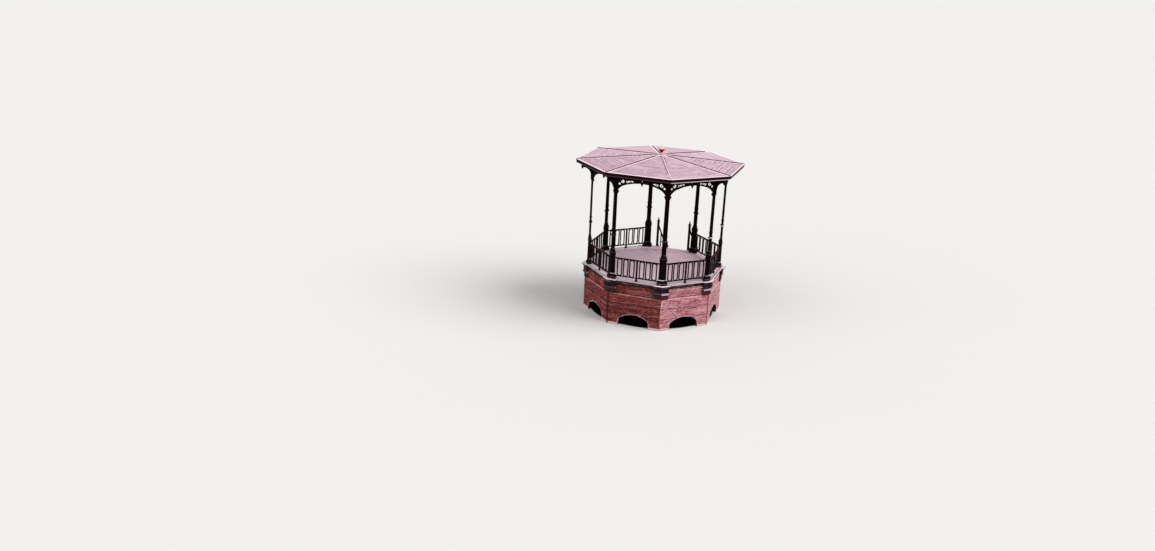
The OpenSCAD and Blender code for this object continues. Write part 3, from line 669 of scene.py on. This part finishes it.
ironLook = {
    "black": (0.0034, 0.0012, 0.0017), "brown": (0.0092, 0.0030, 0.0040), "dust": (0.020, 0.008, 0.010),
    "maroonBlack": (0.012, 0.0022, 0.0042), "maroon": (0.026, 0.0055, 0.0085), "glint": (1.0, 0.88, 0.93),
    "warm": (0.36, 0.215, 0.205), "stops": (0.40, 0.62), "patch": 4.0, "grain": 0.18,
    "dusty": (0.38, 0.62, 0.25, 0.85), "tint": (0.9, 0.55, 0.62, 1.0),
    "roughness": (0.48, 0.64), "specular": 0.025, "relief": (0.3, 0.05),
}


def ironPaint(name, marks=None, shades=("black", "brown")):
    look = ironLook
    paint, tree, shader, place = newPaint(name)
    patches = clouded(tree, place, look["patch"], 4.0, 0.6)
    grain = clouded(tree, place, look["grain"], 3.0, 0.7)
    colour = ramp(tree, patches, [(at, look[key]) for at, key in zip(look["stops"], shades)])
    dust = times(tree, spread(tree, facing(tree)[2], 0.5, 0.95), spread(tree, grain, *look["dusty"]))
    colour = blended(tree, dust, colour, look["dust"])
    if marks:
        colour = marked(tree, colour, marks(tree, place), look)
    shader.inputs["Specular Tint"].default_value = look["tint"]
    dressed(tree, shader, look, colour, patches, weighed(tree, (grain, 1.0), (patches, 0.6)))
    return paint


columnMarks = {
    # each glint: from and to which height over the deck, share, and how much of it stays on the left
    "glints": ((0.86, 1.02, 0.4, 1.0), (2.86, 3.14, 1.0, 1.0), (15.2, 15.45, 0.07, 1.0),
               (17.1, 17.4, 0.08, 1.0), (24.8, 25.45, 0.75, 0.12)),
    "soft": 0.08, "leftEnd": (20, 30), "light": (0.8, -0.6), "lit": (-0.2, 0.5), "spot": 2.2,
    "spots": (0.36, 0.54, 0.35, 1.0), "backLean": -0.25, "back": (24, 16, 0.12, 1.0),
}


def columnGlints(tree, place):
    # painted glints on the mouldings of the foot, the collar and the ring, in spots, on the faces turned to
    # the light
    look = columnMarks
    x, y, height = parts(tree, place)
    sideways, towards, _ = facing(tree)
    right, ahead = look["light"]
    lit = spread(tree, weighed(tree, (sideways, right), (towards, ahead)), *look["lit"])
    wornAndLit = spread(tree, clouded(tree, place, look["spot"], 2.0), *look["spots"])
    back = weighed(tree, (y, 1.0), (x, look["backLean"]))
    wornAndLit = times(tree, wornAndLit, spreadFrom(tree, back, middleY, *look["back"]))
    marks = []
    for low, high, much, onLeft in look["glints"]:
        inside = between(tree, height, deckHigh.z + low * mm, deckHigh.z + high * mm, look["soft"] * mm)
        share = spreadMm(tree, x, *look["leftEnd"], onLeft, 1.0)
        marks.append((times(tree, lit, inside, wornAndLit, share, much), "glint"))
    return marks


railMarks = {"top": (11.7, 12.0), "left": (-19, -25), "spot": 3.0, "spots": (0.38, 0.58, 0.35, 0.95)}


def railTopLight(tree, place):
    # a painted highlight along the tops of the rails on the left, in a warm brown
    look = railMarks
    x, _, height = parts(tree, place)
    top = spreadFrom(tree, height, deckHigh.z, *look["top"])
    left = spreadMm(tree, x, *look["left"])
    up = spread(tree, facing(tree)[2], 0.3, 0.8)
    wornAndLit = spread(tree, clouded(tree, place, look["spot"]), *look["spots"])
    return [(times(tree, top, left, up, wornAndLit), "warm")]


finialLook = {
    "foot": (0.70, 0.35, 0.36), "stem": (0.86, 0.45, 0.38), "cup": (0.16, 0.003, 0.006),
    "under": (0.30, 0.016, 0.018), "rim": (0.88, 0.64, 0.68), "spike": (0.97, 0.80, 0.48),
    "stages": ((0.0, "foot"), (0.10, "foot"), (0.15, "stem"), (0.21, "under"), (0.28, "cup"), (0.535, "cup"),
               (0.56, "rim"), (0.70, "rim"), (0.74, "spike")),
    "ragged": 0.03, "grain": 0.2, "roughness": (0.36, 0.52), "specular": 0.12, "relief": (0.25, 0.05),
}


def finialPaint(name):
    look = finialLook
    paint, tree, shader, place = newPaint(name)
    low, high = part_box("finial")
    height = calc(tree, "DIVIDE", minus(tree, parts(tree, place)[2], low.z), high.z - low.z)
    grain = clouded(tree, place, look["grain"], 3.0, 0.7)
    level = plus(tree, height, swayed(tree, grain, look["ragged"]))
    colour = ramp(tree, level, [(at, look[key]) for at, key in look["stages"]])
    dressed(tree, shader, look, colour, grain, grain)
    return paint


carvedStone = stonePaint("carvedStone", True)
plainStone = stonePaint("plainStone", False)
corbelStone = corbelPaint("corbelStone")
copingLilac = lilacPaint("copingLilac", copingMarksAndShading)
deckLilac = lilacPaint("deckLilac", deckStainAndShading)
roofLilac = lilacPaint("roofLilac", roofMarksAndShading, inSheets=True)
ribLilac = lilacPaint("ribLilac", ribShading)
soffitLilac = lilacPaint("soffitLilac", soffitShading)
iron = ironPaint("castIron")
columnIron = ironPaint("columnIron", columnGlints)
railIron = ironPaint("railIron", railTopLight, ("maroonBlack", "maroon"))
boardIron = ironPaint("boardIron", None, ("maroonBlack", "maroon"))
finialCopper = finialPaint("finialCopper")
print("paints ready")


# Meshes: a CAD node's copy is worked on in millimetres, turned so that its side faces -Y

closeBy = 0.0005       # points nearer than this are one point


def turnedTo(side):
    turn = Matrix.Rotation(-sideTurn * side, 4, "Z")
    return turn @ Matrix.Translation((0, -middleY / mm, 0)) @ Matrix.Scale(1 / mm, 4)


def copyOf(nodeName, side=0):
    bm = bmesh.new()
    bm.from_mesh(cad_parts[nodeName].data)
    bmesh.ops.transform(bm, matrix=turnedTo(side), verts=bm.verts)
    bmesh.ops.remove_doubles(bm, verts=bm.verts, dist=closeBy)
    bmesh.ops.dissolve_limit(bm, angle_limit=math.radians(0.4), verts=bm.verts, edges=bm.edges)
    return bm


def finishPiece(bm, name, paint, replaced, side=0, smooth=None):
    bmesh.ops.transform(bm, matrix=turnedTo(side).inverted(), verts=bm.verts)
    mesh = bpy.data.meshes.new(name)
    bm.to_mesh(mesh)
    bm.free()
    mesh.materials.append(paint)
    if smooth:
        mesh.shade_smooth()
        mesh.set_sharp_from_angle(angle=math.radians(smooth))
    piece = bpy.data.objects.new(name, mesh)
    bpy.context.scene.collection.objects.link(piece)
    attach(piece, "root")
    for nodeName in replaced:
        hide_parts(nodeName)
    return piece


def softEdges(piece, width, segments=2, angle=28):
    bevel = piece.modifiers.new("softEdges", "BEVEL")
    bevel.width = width * mm
    bevel.segments = segments
    bevel.limit_method = "ANGLE"
    bevel.angle_limit = math.radians(angle)
    bevel.harden_normals = True


def cutAlong(bm, faces, point, normal):
    edges = list({e for f in faces for e in f.edges})
    verts = list({v for f in faces for v in f.verts})
    geom = verts + edges + list(faces)
    bmesh.ops.bisect_plane(bm, geom=geom, dist=closeBy, plane_co=point, plane_no=normal)


def sunkRim(bm, face, width, depth, toneLayer):
    # sinks a joint round a face: the field stands forward of its own edge
    tone = face[toneLayer]
    made = bmesh.ops.inset_individual(bm, faces=[face], thickness=width, depth=depth, use_even_offset=True)
    around = [f for f in made["faces"] if f is not face]
    for f in around:
        f[toneLayer] = tone
    return around


def newLayers(bm, names):
    return [bm.faces.layers.float.new(name) for name in names]


# Plinth walls, cut into courses and wedge stones

wallStones = {
    "courseHeights": (6.8, 13.0), "ledge": 18.4, "wedgeCentre": 1.3, "wedgeAngles": (13.0, 27.0, 41.0),
    "springerAngle": 59.0, "besideArch": 5,
    "topJoint": (-5.6, 4.2, 6.1, -3.8, 0.5, 5.2, -6.4, 3.1),          # one for each side
    "courseJoint": (8.6, -9.9, -6.5, 8.2, -4.0, 9.1, 6.8, -7.7),
    "joint": 0.20, "depth": 0.17, "waver": 0.20, "waverLength": 2.4, "stepLength": 0.8, "insideShare": 0.96,
    "plainCorners": {"front": 1.0, "front_right": -1.0},               # wall ends with no groove along them
}


def frontFaces(bm, reach, test=lambda middle: True):
    found = []
    for f in bm.faces:
        if f.normal.y < -0.99 and abs(f.calc_center_median().y + reach) < 0.05:
            if test(f.calc_center_bounds()):
                found.append(f)
    return found


def sink(bm, reach, depth):
    # moves a wall face back by the depth of its joints; corner points stay on the mitre between two walls
    corner = reach * math.tan(sideTurn / 2)
    for v in bm.verts:
        if abs(v.co.y + reach) < 0.01:
            if abs(abs(v.co.x) - corner) < 0.01:
                v.co.x *= (reach - depth) / reach
            v.co.y += depth
    bm.normal_update()


def waver(bm, faces, amount, length, step, seed):
    inner = [e for e in bm.edges if len(e.link_faces) == 2 and all(f in faces for f in e.link_faces)]
    before = set(bm.verts)
    for e in inner:
        cuts = int(e.calc_length() / step)
        if cuts > 0:
            bmesh.ops.bisect_edges(bm, edges=[e], cuts=cuts)
    for v in bm.verts:
        if v not in before:
            at = Vector((v.co.x, v.co.z, seed * 10.0)) / length
            v.co.x += amount * noise.noise(at)
            v.co.z = max(0.0, v.co.z + amount * noise.noise(at + Vector((31.0, 0, 0))))


def cutWedge(bm, faces, degrees, sign):
    a = math.radians(degrees)
    cutAlong(bm, faces, (0, 0, wallStones["wedgeCentre"]), (math.cos(a) * sign, 0, -math.sin(a)))


def cutStones(bm, side, arched, lower, upper):
    # level courses, wedge stones round the arch, and an upright joint in each of the two top courses
    look = wallStones
    level, upright = (0, 0, 1), (1, 0, 0)
    middle, top = look["courseHeights"]
    beside = look["besideArch"]
    cutAlong(bm, frontFaces(bm, lower), (0, 0, top), level)
    if arched:
        for sign in (-1, 1):
            cutWedge(bm, frontFaces(bm, lower, lambda m: m.z < top), look["wedgeAngles"][2], sign)
        for sign in (-1, 1):
            flank = frontFaces(bm, lower, lambda m: m.z < top and m.x * sign > beside)
            cutAlong(bm, flank, (0, 0, middle), level)
            foot = frontFaces(bm, lower, lambda m: m.z < middle and m.x * sign > beside)
            cutWedge(bm, foot, look["springerAngle"], sign)
            for degrees in look["wedgeAngles"][:2]:
                crown = frontFaces(bm, lower, lambda m: m.z < top and abs(m.x) < beside)
                cutWedge(bm, crown, degrees, sign)
    else:
        cutAlong(bm, frontFaces(bm, lower), (0, 0, middle), level)
    course = frontFaces(bm, lower, lambda m: m.z > top)
    cutAlong(bm, course, (look["courseJoint"][side], 0, 0), upright)
    cutAlong(bm, frontFaces(bm, upper), (look["topJoint"][side], 0, 0), upright)


def carveWall(side, arched):
    look = wallStones
    nodeName = "plinth_wall_" + sideNames[side]
    bm = copyOf(nodeName, side)
    jointLayer, lipLayer, toneLayer, insideLayer, archLayer, cornerLayer, litWallLayer = newLayers(
        bm, ("jointFace", "lipFace", "blockTone", "insideFace", "archedWall", "plainCorner", "bleached"))
    plain = look["plainCorners"].get(sideNames[side], 0.0)
    for f in bm.faces:
        # the walls that face right are marked to take the lit colours
        f[litWallLayer] = 1.0 if math.sin(sideTurn * side) > 0.5 else 0.0
        f[archLayer] = 1.0 if arched else 0.0
        f[cornerLayer] = plain
        # inner faces and the faces round the arch openings are painted near black as shade
        if f.normal.y > 0.5:
            f[insideLayer] = 1.0
        elif abs(f.normal.y) < 0.2 and f.normal.z < 0.5 and f.calc_center_median().z > 0.5:
            f[insideLayer] = look["insideShare"]
    lower = max(-v.co.y for v in bm.verts)
    upper = max(-v.co.y for v in bm.verts if v.co.z > look["ledge"] + 1)
    sink(bm, lower, look["depth"])
    sink(bm, upper, look["depth"])
    lower, upper = lower - look["depth"], upper - look["depth"]
    cutStones(bm, side, arched, lower, upper)
    for reach in (lower, upper):
        faces = frontFaces(bm, reach)
        waver(bm, set(faces), look["waver"], look["waverLength"], look["stepLength"], side + 1)
        for f in faces:
            m = f.calc_center_bounds()
            f[toneLayer] = 2 * noise.noise(Vector((m.x * 0.37, m.z * 0.53, side * 7.1)))
        for f in faces:
            for made in sunkRim(bm, f, look["joint"], look["depth"], toneLayer):
                made[jointLayer] = 1.0
                outer = [g for e in made.edges for g in e.link_faces if abs(g.normal.y) < 0.2]
                # the pale lip is wear and a painted highlight
                if outer:       # a rim by the arch or on top of the ledge is a worn lip, no joint
                    made[lipLayer] = 1.0 if outer[0][insideLayer] > 0 or abs(outer[0].normal.z) > 0.5 else 0.0
                    made[jointLayer] = 1.0 - made[lipLayer]
                if made.calc_center_bounds().x * f[cornerLayer] > wallHalf - 0.5:
                    made[jointLayer] = made[lipLayer] = 0.0
        for v in bm.verts:      # no groove along the arris that the photograph shows worn pale
            if v.co.x * plain > reach * math.tan(sideTurn / 2) - 0.03 and abs(v.co.y + reach) < 0.02:
                v.co.y -= look["depth"]
                v.co.x = -v.co.y * math.tan(sideTurn / 2) * plain
    wallMap = bm.loops.layers.uv.new("wallMap")
    for f in bm.faces:
        for loop in f.loops:
            loop[wallMap].uv = (loop.vert.co.x, loop.vert.co.z)
    finishPiece(bm, "wallStones_" + sideNames[side], carvedStone, [nodeName], side)


for side, sideName in enumerate(sideNames):
    carveWall(side, arched=sideName != "back")
print("plinth walls carved")


# Roof, in narrow sheets parallel to the eaves

roofSheets = {
    "joint": 0.12, "rise": 0.035, "lastRow": 2.6,
    "sunTones": (0.0, 0.15, 0.35, 1.3, 1.0, 1.4, 1.1, 0.22),
    "lineTones": (0.95, 0.55, 1.0, 0.9, 0.85, 0.85, 1.3, 1.3),
    "hipSides": (1.0, -1.0, 0, 0, 0, 0, 0, 0),
    "edgeShifts": (0.0, -0.25, -0.8, 0.3, 0.3, 0.3, -0.7, -0.5),
}


def carveRoof():
    look = roofSheets
    bm = copyOf("roof_cover")
    toneLayer, sunLayer, lineLayer, hipLayer, shiftLayer = newLayers(
        bm, ("blockTone", "sunTone", "lineTone", "hipSide", "edgeShift"))
    sheetMap = bm.loops.layers.uv.new("sheetMap")
    facets = [f for f in bm.faces if 0.9 < f.normal.z < 0.9999 and f.calc_area() > 100]      # the slopes
    top = sorted(facets, key=lambda f: -f.calc_center_median().z)[:8]
    outs = [Vector((math.sin(sideTurn * n), -math.cos(sideTurn * n), 0)) for n in range(8)]
    for facet in top:
        side = max(range(8), key=lambda n: facet.normal.dot(outs[n]))
        out = outs[side]
        sheets = [facet]
        row = 1
        while roofReach - row * roofMarks["linePitch"] > look["lastRow"]:
            before = set(bm.faces)
            cutAlong(bm, [sheets[-1]], out * (roofReach - row * roofMarks["linePitch"]), out)
            halves = [f for f in bm.faces if f not in before] + [sheets.pop()]
            halves.sort(key=lambda f: f.calc_center_median().z)
            sheets += halves
            row += 1
        for number, sheet in enumerate(sheets):
            sheet[toneLayer] = 1.6 * noise.noise(Vector((number * 1.7, side * 5.3, 0.4)))
            rims = sunkRim(bm, sheet, look["joint"], -look["rise"], toneLayer)
            for f in [sheet] + rims:
                f[sunLayer] = look["sunTones"][side]
                f[lineLayer] = look["lineTones"][side]
                f[hipLayer] = look["hipSides"][side]
                f[shiftLayer] = look["edgeShifts"][side]
    for f in bm.faces:
        middle = f.calc_center_median()
        out = max(outs, key=lambda o: middle.dot(o))
        across = Vector((-out.y, out.x, 0))
        for loop in f.loops:
            loop[sheetMap].uv = (loop.vert.co.dot(across), loop.vert.co.dot(out))
    print("roof sheets", len(sheets), "a side")
    finishPiece(bm, "roofSheets", roofLilac, ["roof_cover"])


carveRoof()
print("roof laid")


# Ironwork and mouldings, with the edges eased so that they catch the light

edgeWidths = {"column": 0.07, "railing": 0.05, "spandrel": 0.05, "handrail": 0.05, "coping": 0.07,
              "corbel": 0.10, "beam": 0.08, "steps": 0.12, "finial": 0.05}
coats = {"railing": 0.045, "column": 0.06}
railingShare = 0.5      # of the thickness of the plate
smoothUpTo = 40         # degrees between two faces


def coated(bm, coat):
    # coats of paint on a casting
    bm.normal_update()
    for v in bm.verts:
        v.co += v.normal * coat * min(v.calc_shell_factor(), 1.5)     # no spikes where an edge is sharp


def thinRailing(side):
    # the photographed bars are thinner than a plate that a kit can hold, but thick with paint
    name = sideNames[side]
    bm = copyOf("railing_" + name, side)
    coated(bm, coats["railing"])
    middle = (min(v.co.y for v in bm.verts) + max(v.co.y for v in bm.verts)) / 2
    bmesh.ops.scale(bm, vec=(1, railingShare, 1), space=Matrix.Translation((0, -middle, 0)), verts=bm.verts)
    piece = finishPiece(bm, "railingIron_" + name, railIron, ["railing_" + name], side, smoothUpTo)
    softEdges(piece, edgeWidths["railing"], 1)


def easedCopy(nodeName, pieceName, paint, edge, smooth=smoothUpTo, segments=2):
    piece = finishPiece(copyOf(nodeName), pieceName, paint, [nodeName], 0, smooth)
    softEdges(piece, edgeWidths[edge], segments)


for name in cornerNames:
    bm = copyOf("column_" + name)
    coated(bm, coats["column"])
    piece = finishPiece(bm, "columnIron_" + name, columnIron, ["column_" + name], 0, smoothUpTo)
    softEdges(piece, edgeWidths["column"])
for side, name in enumerate(sideNames):
    easedCopy("spandrel_" + name, "spandrelIron_" + name, iron, "spandrel", segments=1)
    if name != "back":
        thinRailing(side)
for name in ("left", "right"):
    easedCopy("handrail_" + name, "handrailIron_" + name, railIron, "handrail", segments=1)
    easedCopy("step_wall_" + name, "stepWallStone_" + name, plainStone, "steps")
easedCopy("step_flight", "stepStones", plainStone, "steps")
easedCopy("ring_beam", "ringBeamIron", iron, "beam")
easedCopy("coping", "copingMoulding", copingLilac, "coping")
easedCopy("corner_corbels", "corbelStones", corbelStone, "corbel")
easedCopy("finial", "finialTurning", finialCopper, "finial", 50)


hipRolls = {"farEnd": 40, "end": 1.6, "shorter": 5.6, "fall": 0.085, "finer": 0.14}


def layRolls():
    # the two rolls at the far end of the photograph stop short of the eaves
    look = hipRolls
    bm = copyOf("hip_ribs")
    for v in bm.verts:
        out = Vector((v.co.x, v.co.y, 0))
        if v.co.y > look["farEnd"] and out.length > roofCorner - look["end"]:
            v.co -= out.normalized() * look["shorter"]
            v.co.z += look["shorter"] * look["fall"]
    coated(bm, -look["finer"])
    finishPiece(bm, "hipRolls", ribLilac, ["hip_ribs"], 0, smoothUpTo)


layRolls()
print("ironwork and mouldings eased")


# Scroll bars that curl inwards from the rim of the largest lights of each spandrel

curlLook = {
    "fromEnd": 2.25, "belowTop": 1.95, "reach": 1.12, "heart": 0.34, "turns": 1.15, "steps": 26, "bar": 0.15,
    "barSides": 6, "smooth": 60,
    # each curl: further from the end, higher by, size, and the angle that it begins at
    "curls": ((0.0, 0.0, 1.0, 200), (2.72, 0.15, 0.72, -20)),
}
dropLook = {
    "below": 1.6, "segments": 16, "closeBy": 0.001,
    "outline": ((0.0, -0.3), (0.78, -0.2), (0.80, 0.1), (0.62, 0.35), (0.70, 0.65), (0.55, 1.1), (0.25, 1.7),
                (0.0, 2.1)),
}


def curlBar(bm, centre, size, lead, sign):
    # a thin bar pulled round its centre, closer at each step
    look = curlLook
    start = math.radians(lead)
    made = bmesh.ops.create_circle(bm, cap_ends=True, segments=look["barSides"], radius=look["bar"])
    ring = list({e for v in made["verts"] for e in v.link_edges})
    out = Vector((math.cos(start) * sign, 0, math.sin(start)))
    turn = Matrix((out, (0, 1, 0), out.cross(Vector((0, 1, 0))))).transposed().to_4x4()
    radius = look["reach"] * size
    bmesh.ops.transform(bm, matrix=Matrix.Translation(centre + out * radius) @ turn, verts=made["verts"])
    step = -math.tau * look["turns"] / look["steps"] * sign
    shrink = (look["heart"] / look["reach"]) ** (1 / look["steps"])
    for k in range(look["steps"]):
        pulled = bmesh.ops.extrude_edge_only(bm, edges=ring)["geom"]
        verts = [g for g in pulled if isinstance(g, bmesh.types.BMVert)]
        ring = [g for g in pulled if isinstance(g, bmesh.types.BMEdge)]
        bmesh.ops.rotate(bm, verts=verts, cent=centre, matrix=Matrix.Rotation(step, 3, "Y"))
        middle = sum((v.co for v in verts), Vector()) / len(verts)
        bmesh.ops.translate(bm, verts=verts, vec=(centre - middle) * (1 - shrink))
    bmesh.ops.contextual_create(bm, geom=ring)


def addCurls(side):
    look = curlLook
    source = copyOf("spandrel_" + sideNames[side], side)
    end = max(v.co.x for v in source.verts)
    top = max(v.co.z for v in source.verts)
    reach = sum(v.co.y for v in source.verts) / len(source.verts)
    source.free()
    bm = bmesh.new()
    for sign in (-1, 1):
        for shift, higher, size, lead in look["curls"]:
            across = sign * (end - look["fromEnd"] - shift)
            curlBar(bm, Vector((across, reach, top - look["belowTop"] + higher)), size, lead, sign)
    outline = [bm.verts.new((r, reach, top - dropLook["below"] - down)) for r, down in dropLook["outline"]]
    edges = [bm.edges.new(pair) for pair in zip(outline, outline[1:])]
    bmesh.ops.spin(bm, geom=outline + edges, cent=(0, reach, 0), axis=(0, 0, 1), angle=math.tau,
                   steps=dropLook["segments"], use_merge=True)
    bmesh.ops.remove_doubles(bm, verts=bm.verts, dist=dropLook["closeBy"])
    bmesh.ops.recalc_face_normals(bm, faces=bm.faces)
    finishPiece(bm, "spandrelCurls_" + sideNames[side], iron, [], side, look["smooth"])


for side in range(8):
    addCurls(side)
print("spandrel curls added")


def paintNode(nodeName, paint):
    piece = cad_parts[nodeName]
    piece.data.materials.clear()
    piece.data.materials.append(paint)


paintNode("deck", deckLilac)
paintNode("roof_soffit", soffitLilac)
paintNode("roof_fascia", boardIron)


# Floor, light and camera

studio = {
    "floorHalf": 9.0, "floorSeen": (0.80, 0.79, 0.775), "floorBounce": (0.26, 0.25, 0.245),
    "floorInside": (0.004, 0.004, 0.004), "insideReach": 36.4, "insideSoft": 0.6, "floorRoughness": 0.9,
    "keyFrom": (2, 48), "keyStrength": 2.2, "keySoftness": 46, "skyLight": 0.42, "skySeen": 0.8,
    "fillFrom": (-128, 34), "fillStrength": 0.95, "fillSoftness": 60, "lampDistance": 2,
}


def seenRay(tree):
    rays = tree.nodes.new("ShaderNodeLightPath")
    both = larger(tree, rays.outputs["Is Camera Ray"], rays.outputs["Is Glossy Ray"])
    return larger(tree, both, rays.outputs["Is Transmission Ray"])


def makeFloor():
    paint, tree, shader, place = newPaint("paleFloor")
    colour = blended(tree, seenRay(tree), studio["floorBounce"], studio["floorSeen"])
    # the floor inside the plinth is painted near black as shade
    reach, soft = studio["insideReach"], studio["insideSoft"]     # the floor inside the plinth is dark
    inside = spreadMm(tree, distanceTo(tree, place, (0, middleY, 0)), reach + soft, reach - soft)
    feed(tree, shader.inputs["Base Color"], blended(tree, inside, colour, studio["floorInside"]))
    shader.inputs["Roughness"].default_value = studio["floorRoughness"]
    shader.inputs["Specular IOR Level"].default_value = 0.0
    bm = bmesh.new()
    bmesh.ops.create_grid(bm, x_segments=1, y_segments=1, size=studio["floorHalf"])
    mesh = bpy.data.meshes.new("paleFloor")
    bm.to_mesh(mesh)
    bm.free()
    mesh.materials.append(paint)
    floor = bpy.data.objects.new("paleFloor", mesh)
    bpy.context.scene.collection.objects.link(floor)


def makeSky():
    world = bpy.data.worlds.new("paleRoom")
    world.use_nodes = True
    bpy.context.scene.world = world
    tree = world.node_tree
    back = tree.nodes["Background"]
    back.inputs["Color"].default_value = (1.0, 1.0, 1.0, 1.0)
    strength = spread(tree, seenRay(tree), 0.0, 1.0, studio["skyLight"], studio["skySeen"])
    feed(tree, back.inputs["Strength"], strength)


def makeLamp(name, fromSide, height, strength, softness):
    lamp = bpy.data.lights.new(name, "SUN")
    lamp.energy = strength
    lamp.angle = math.radians(softness)
    around, up = math.radians(fromSide), math.radians(height)
    towards = Vector((math.cos(around) * math.cos(up), math.sin(around) * math.cos(up), math.sin(up)))
    holder = bpy.data.objects.new(name, lamp)
    holder.rotation_mode = "QUATERNION"
    holder.rotation_quaternion = towards.to_track_quat("Z", "Y")
    holder.location = towards * studio["lampDistance"]
    bpy.context.scene.collection.objects.link(holder)


# Where the photograph was taken from, measured round the middle of the deck
photoView = {
    "imageWidth": 1155, "focal": 1050, "azimuth": 19.31, "elevation": 17.90, "roll": 2.51,
    "distance": 621.8, "aimHeight": 17.69, "aimAcross": -44.71, "sensor": 36.0, "clip": (0.01, 50),
}


def makeCamera():
    view = photoView
    az, el, roll = (math.radians(view[k]) for k in ("azimuth", "elevation", "roll"))
    back = Vector((math.sin(az) * math.cos(el), -math.cos(az) * math.cos(el), math.sin(el)))
    right = Vector((math.cos(az), math.sin(az), 0))
    up = back.cross(right)
    tiltedRight = math.cos(roll) * right + math.sin(roll) * up
    tiltedUp = -math.sin(roll) * right + math.cos(roll) * up
    middle = Vector((0, middleY, view["aimHeight"] * mm))
    place = middle + right * view["aimAcross"] * mm + back * view["distance"] * mm
    lens = bpy.data.cameras.new("photoCamera")
    lens.sensor_width = view["sensor"]
    lens.lens = view["sensor"] * view["focal"] / view["imageWidth"]
    lens.clip_start, lens.clip_end = view["clip"]
    camera = bpy.data.objects.new("photoCamera", lens)
    turn = Matrix((tiltedRight, tiltedUp, back)).transposed()
    camera.matrix_world = Matrix.Translation(place) @ turn.to_4x4()
    bpy.context.scene.collection.objects.link(camera)
    bpy.context.scene.camera = camera


makeFloor()
makeSky()
for lamp in ("key", "fill"):
    makeLamp(lamp + "Lamp", *studio[lamp + "From"], studio[lamp + "Strength"], studio[lamp + "Softness"])
makeCamera()
bpy.context.scene.view_settings.view_transform = "Standard"
print("studio ready")
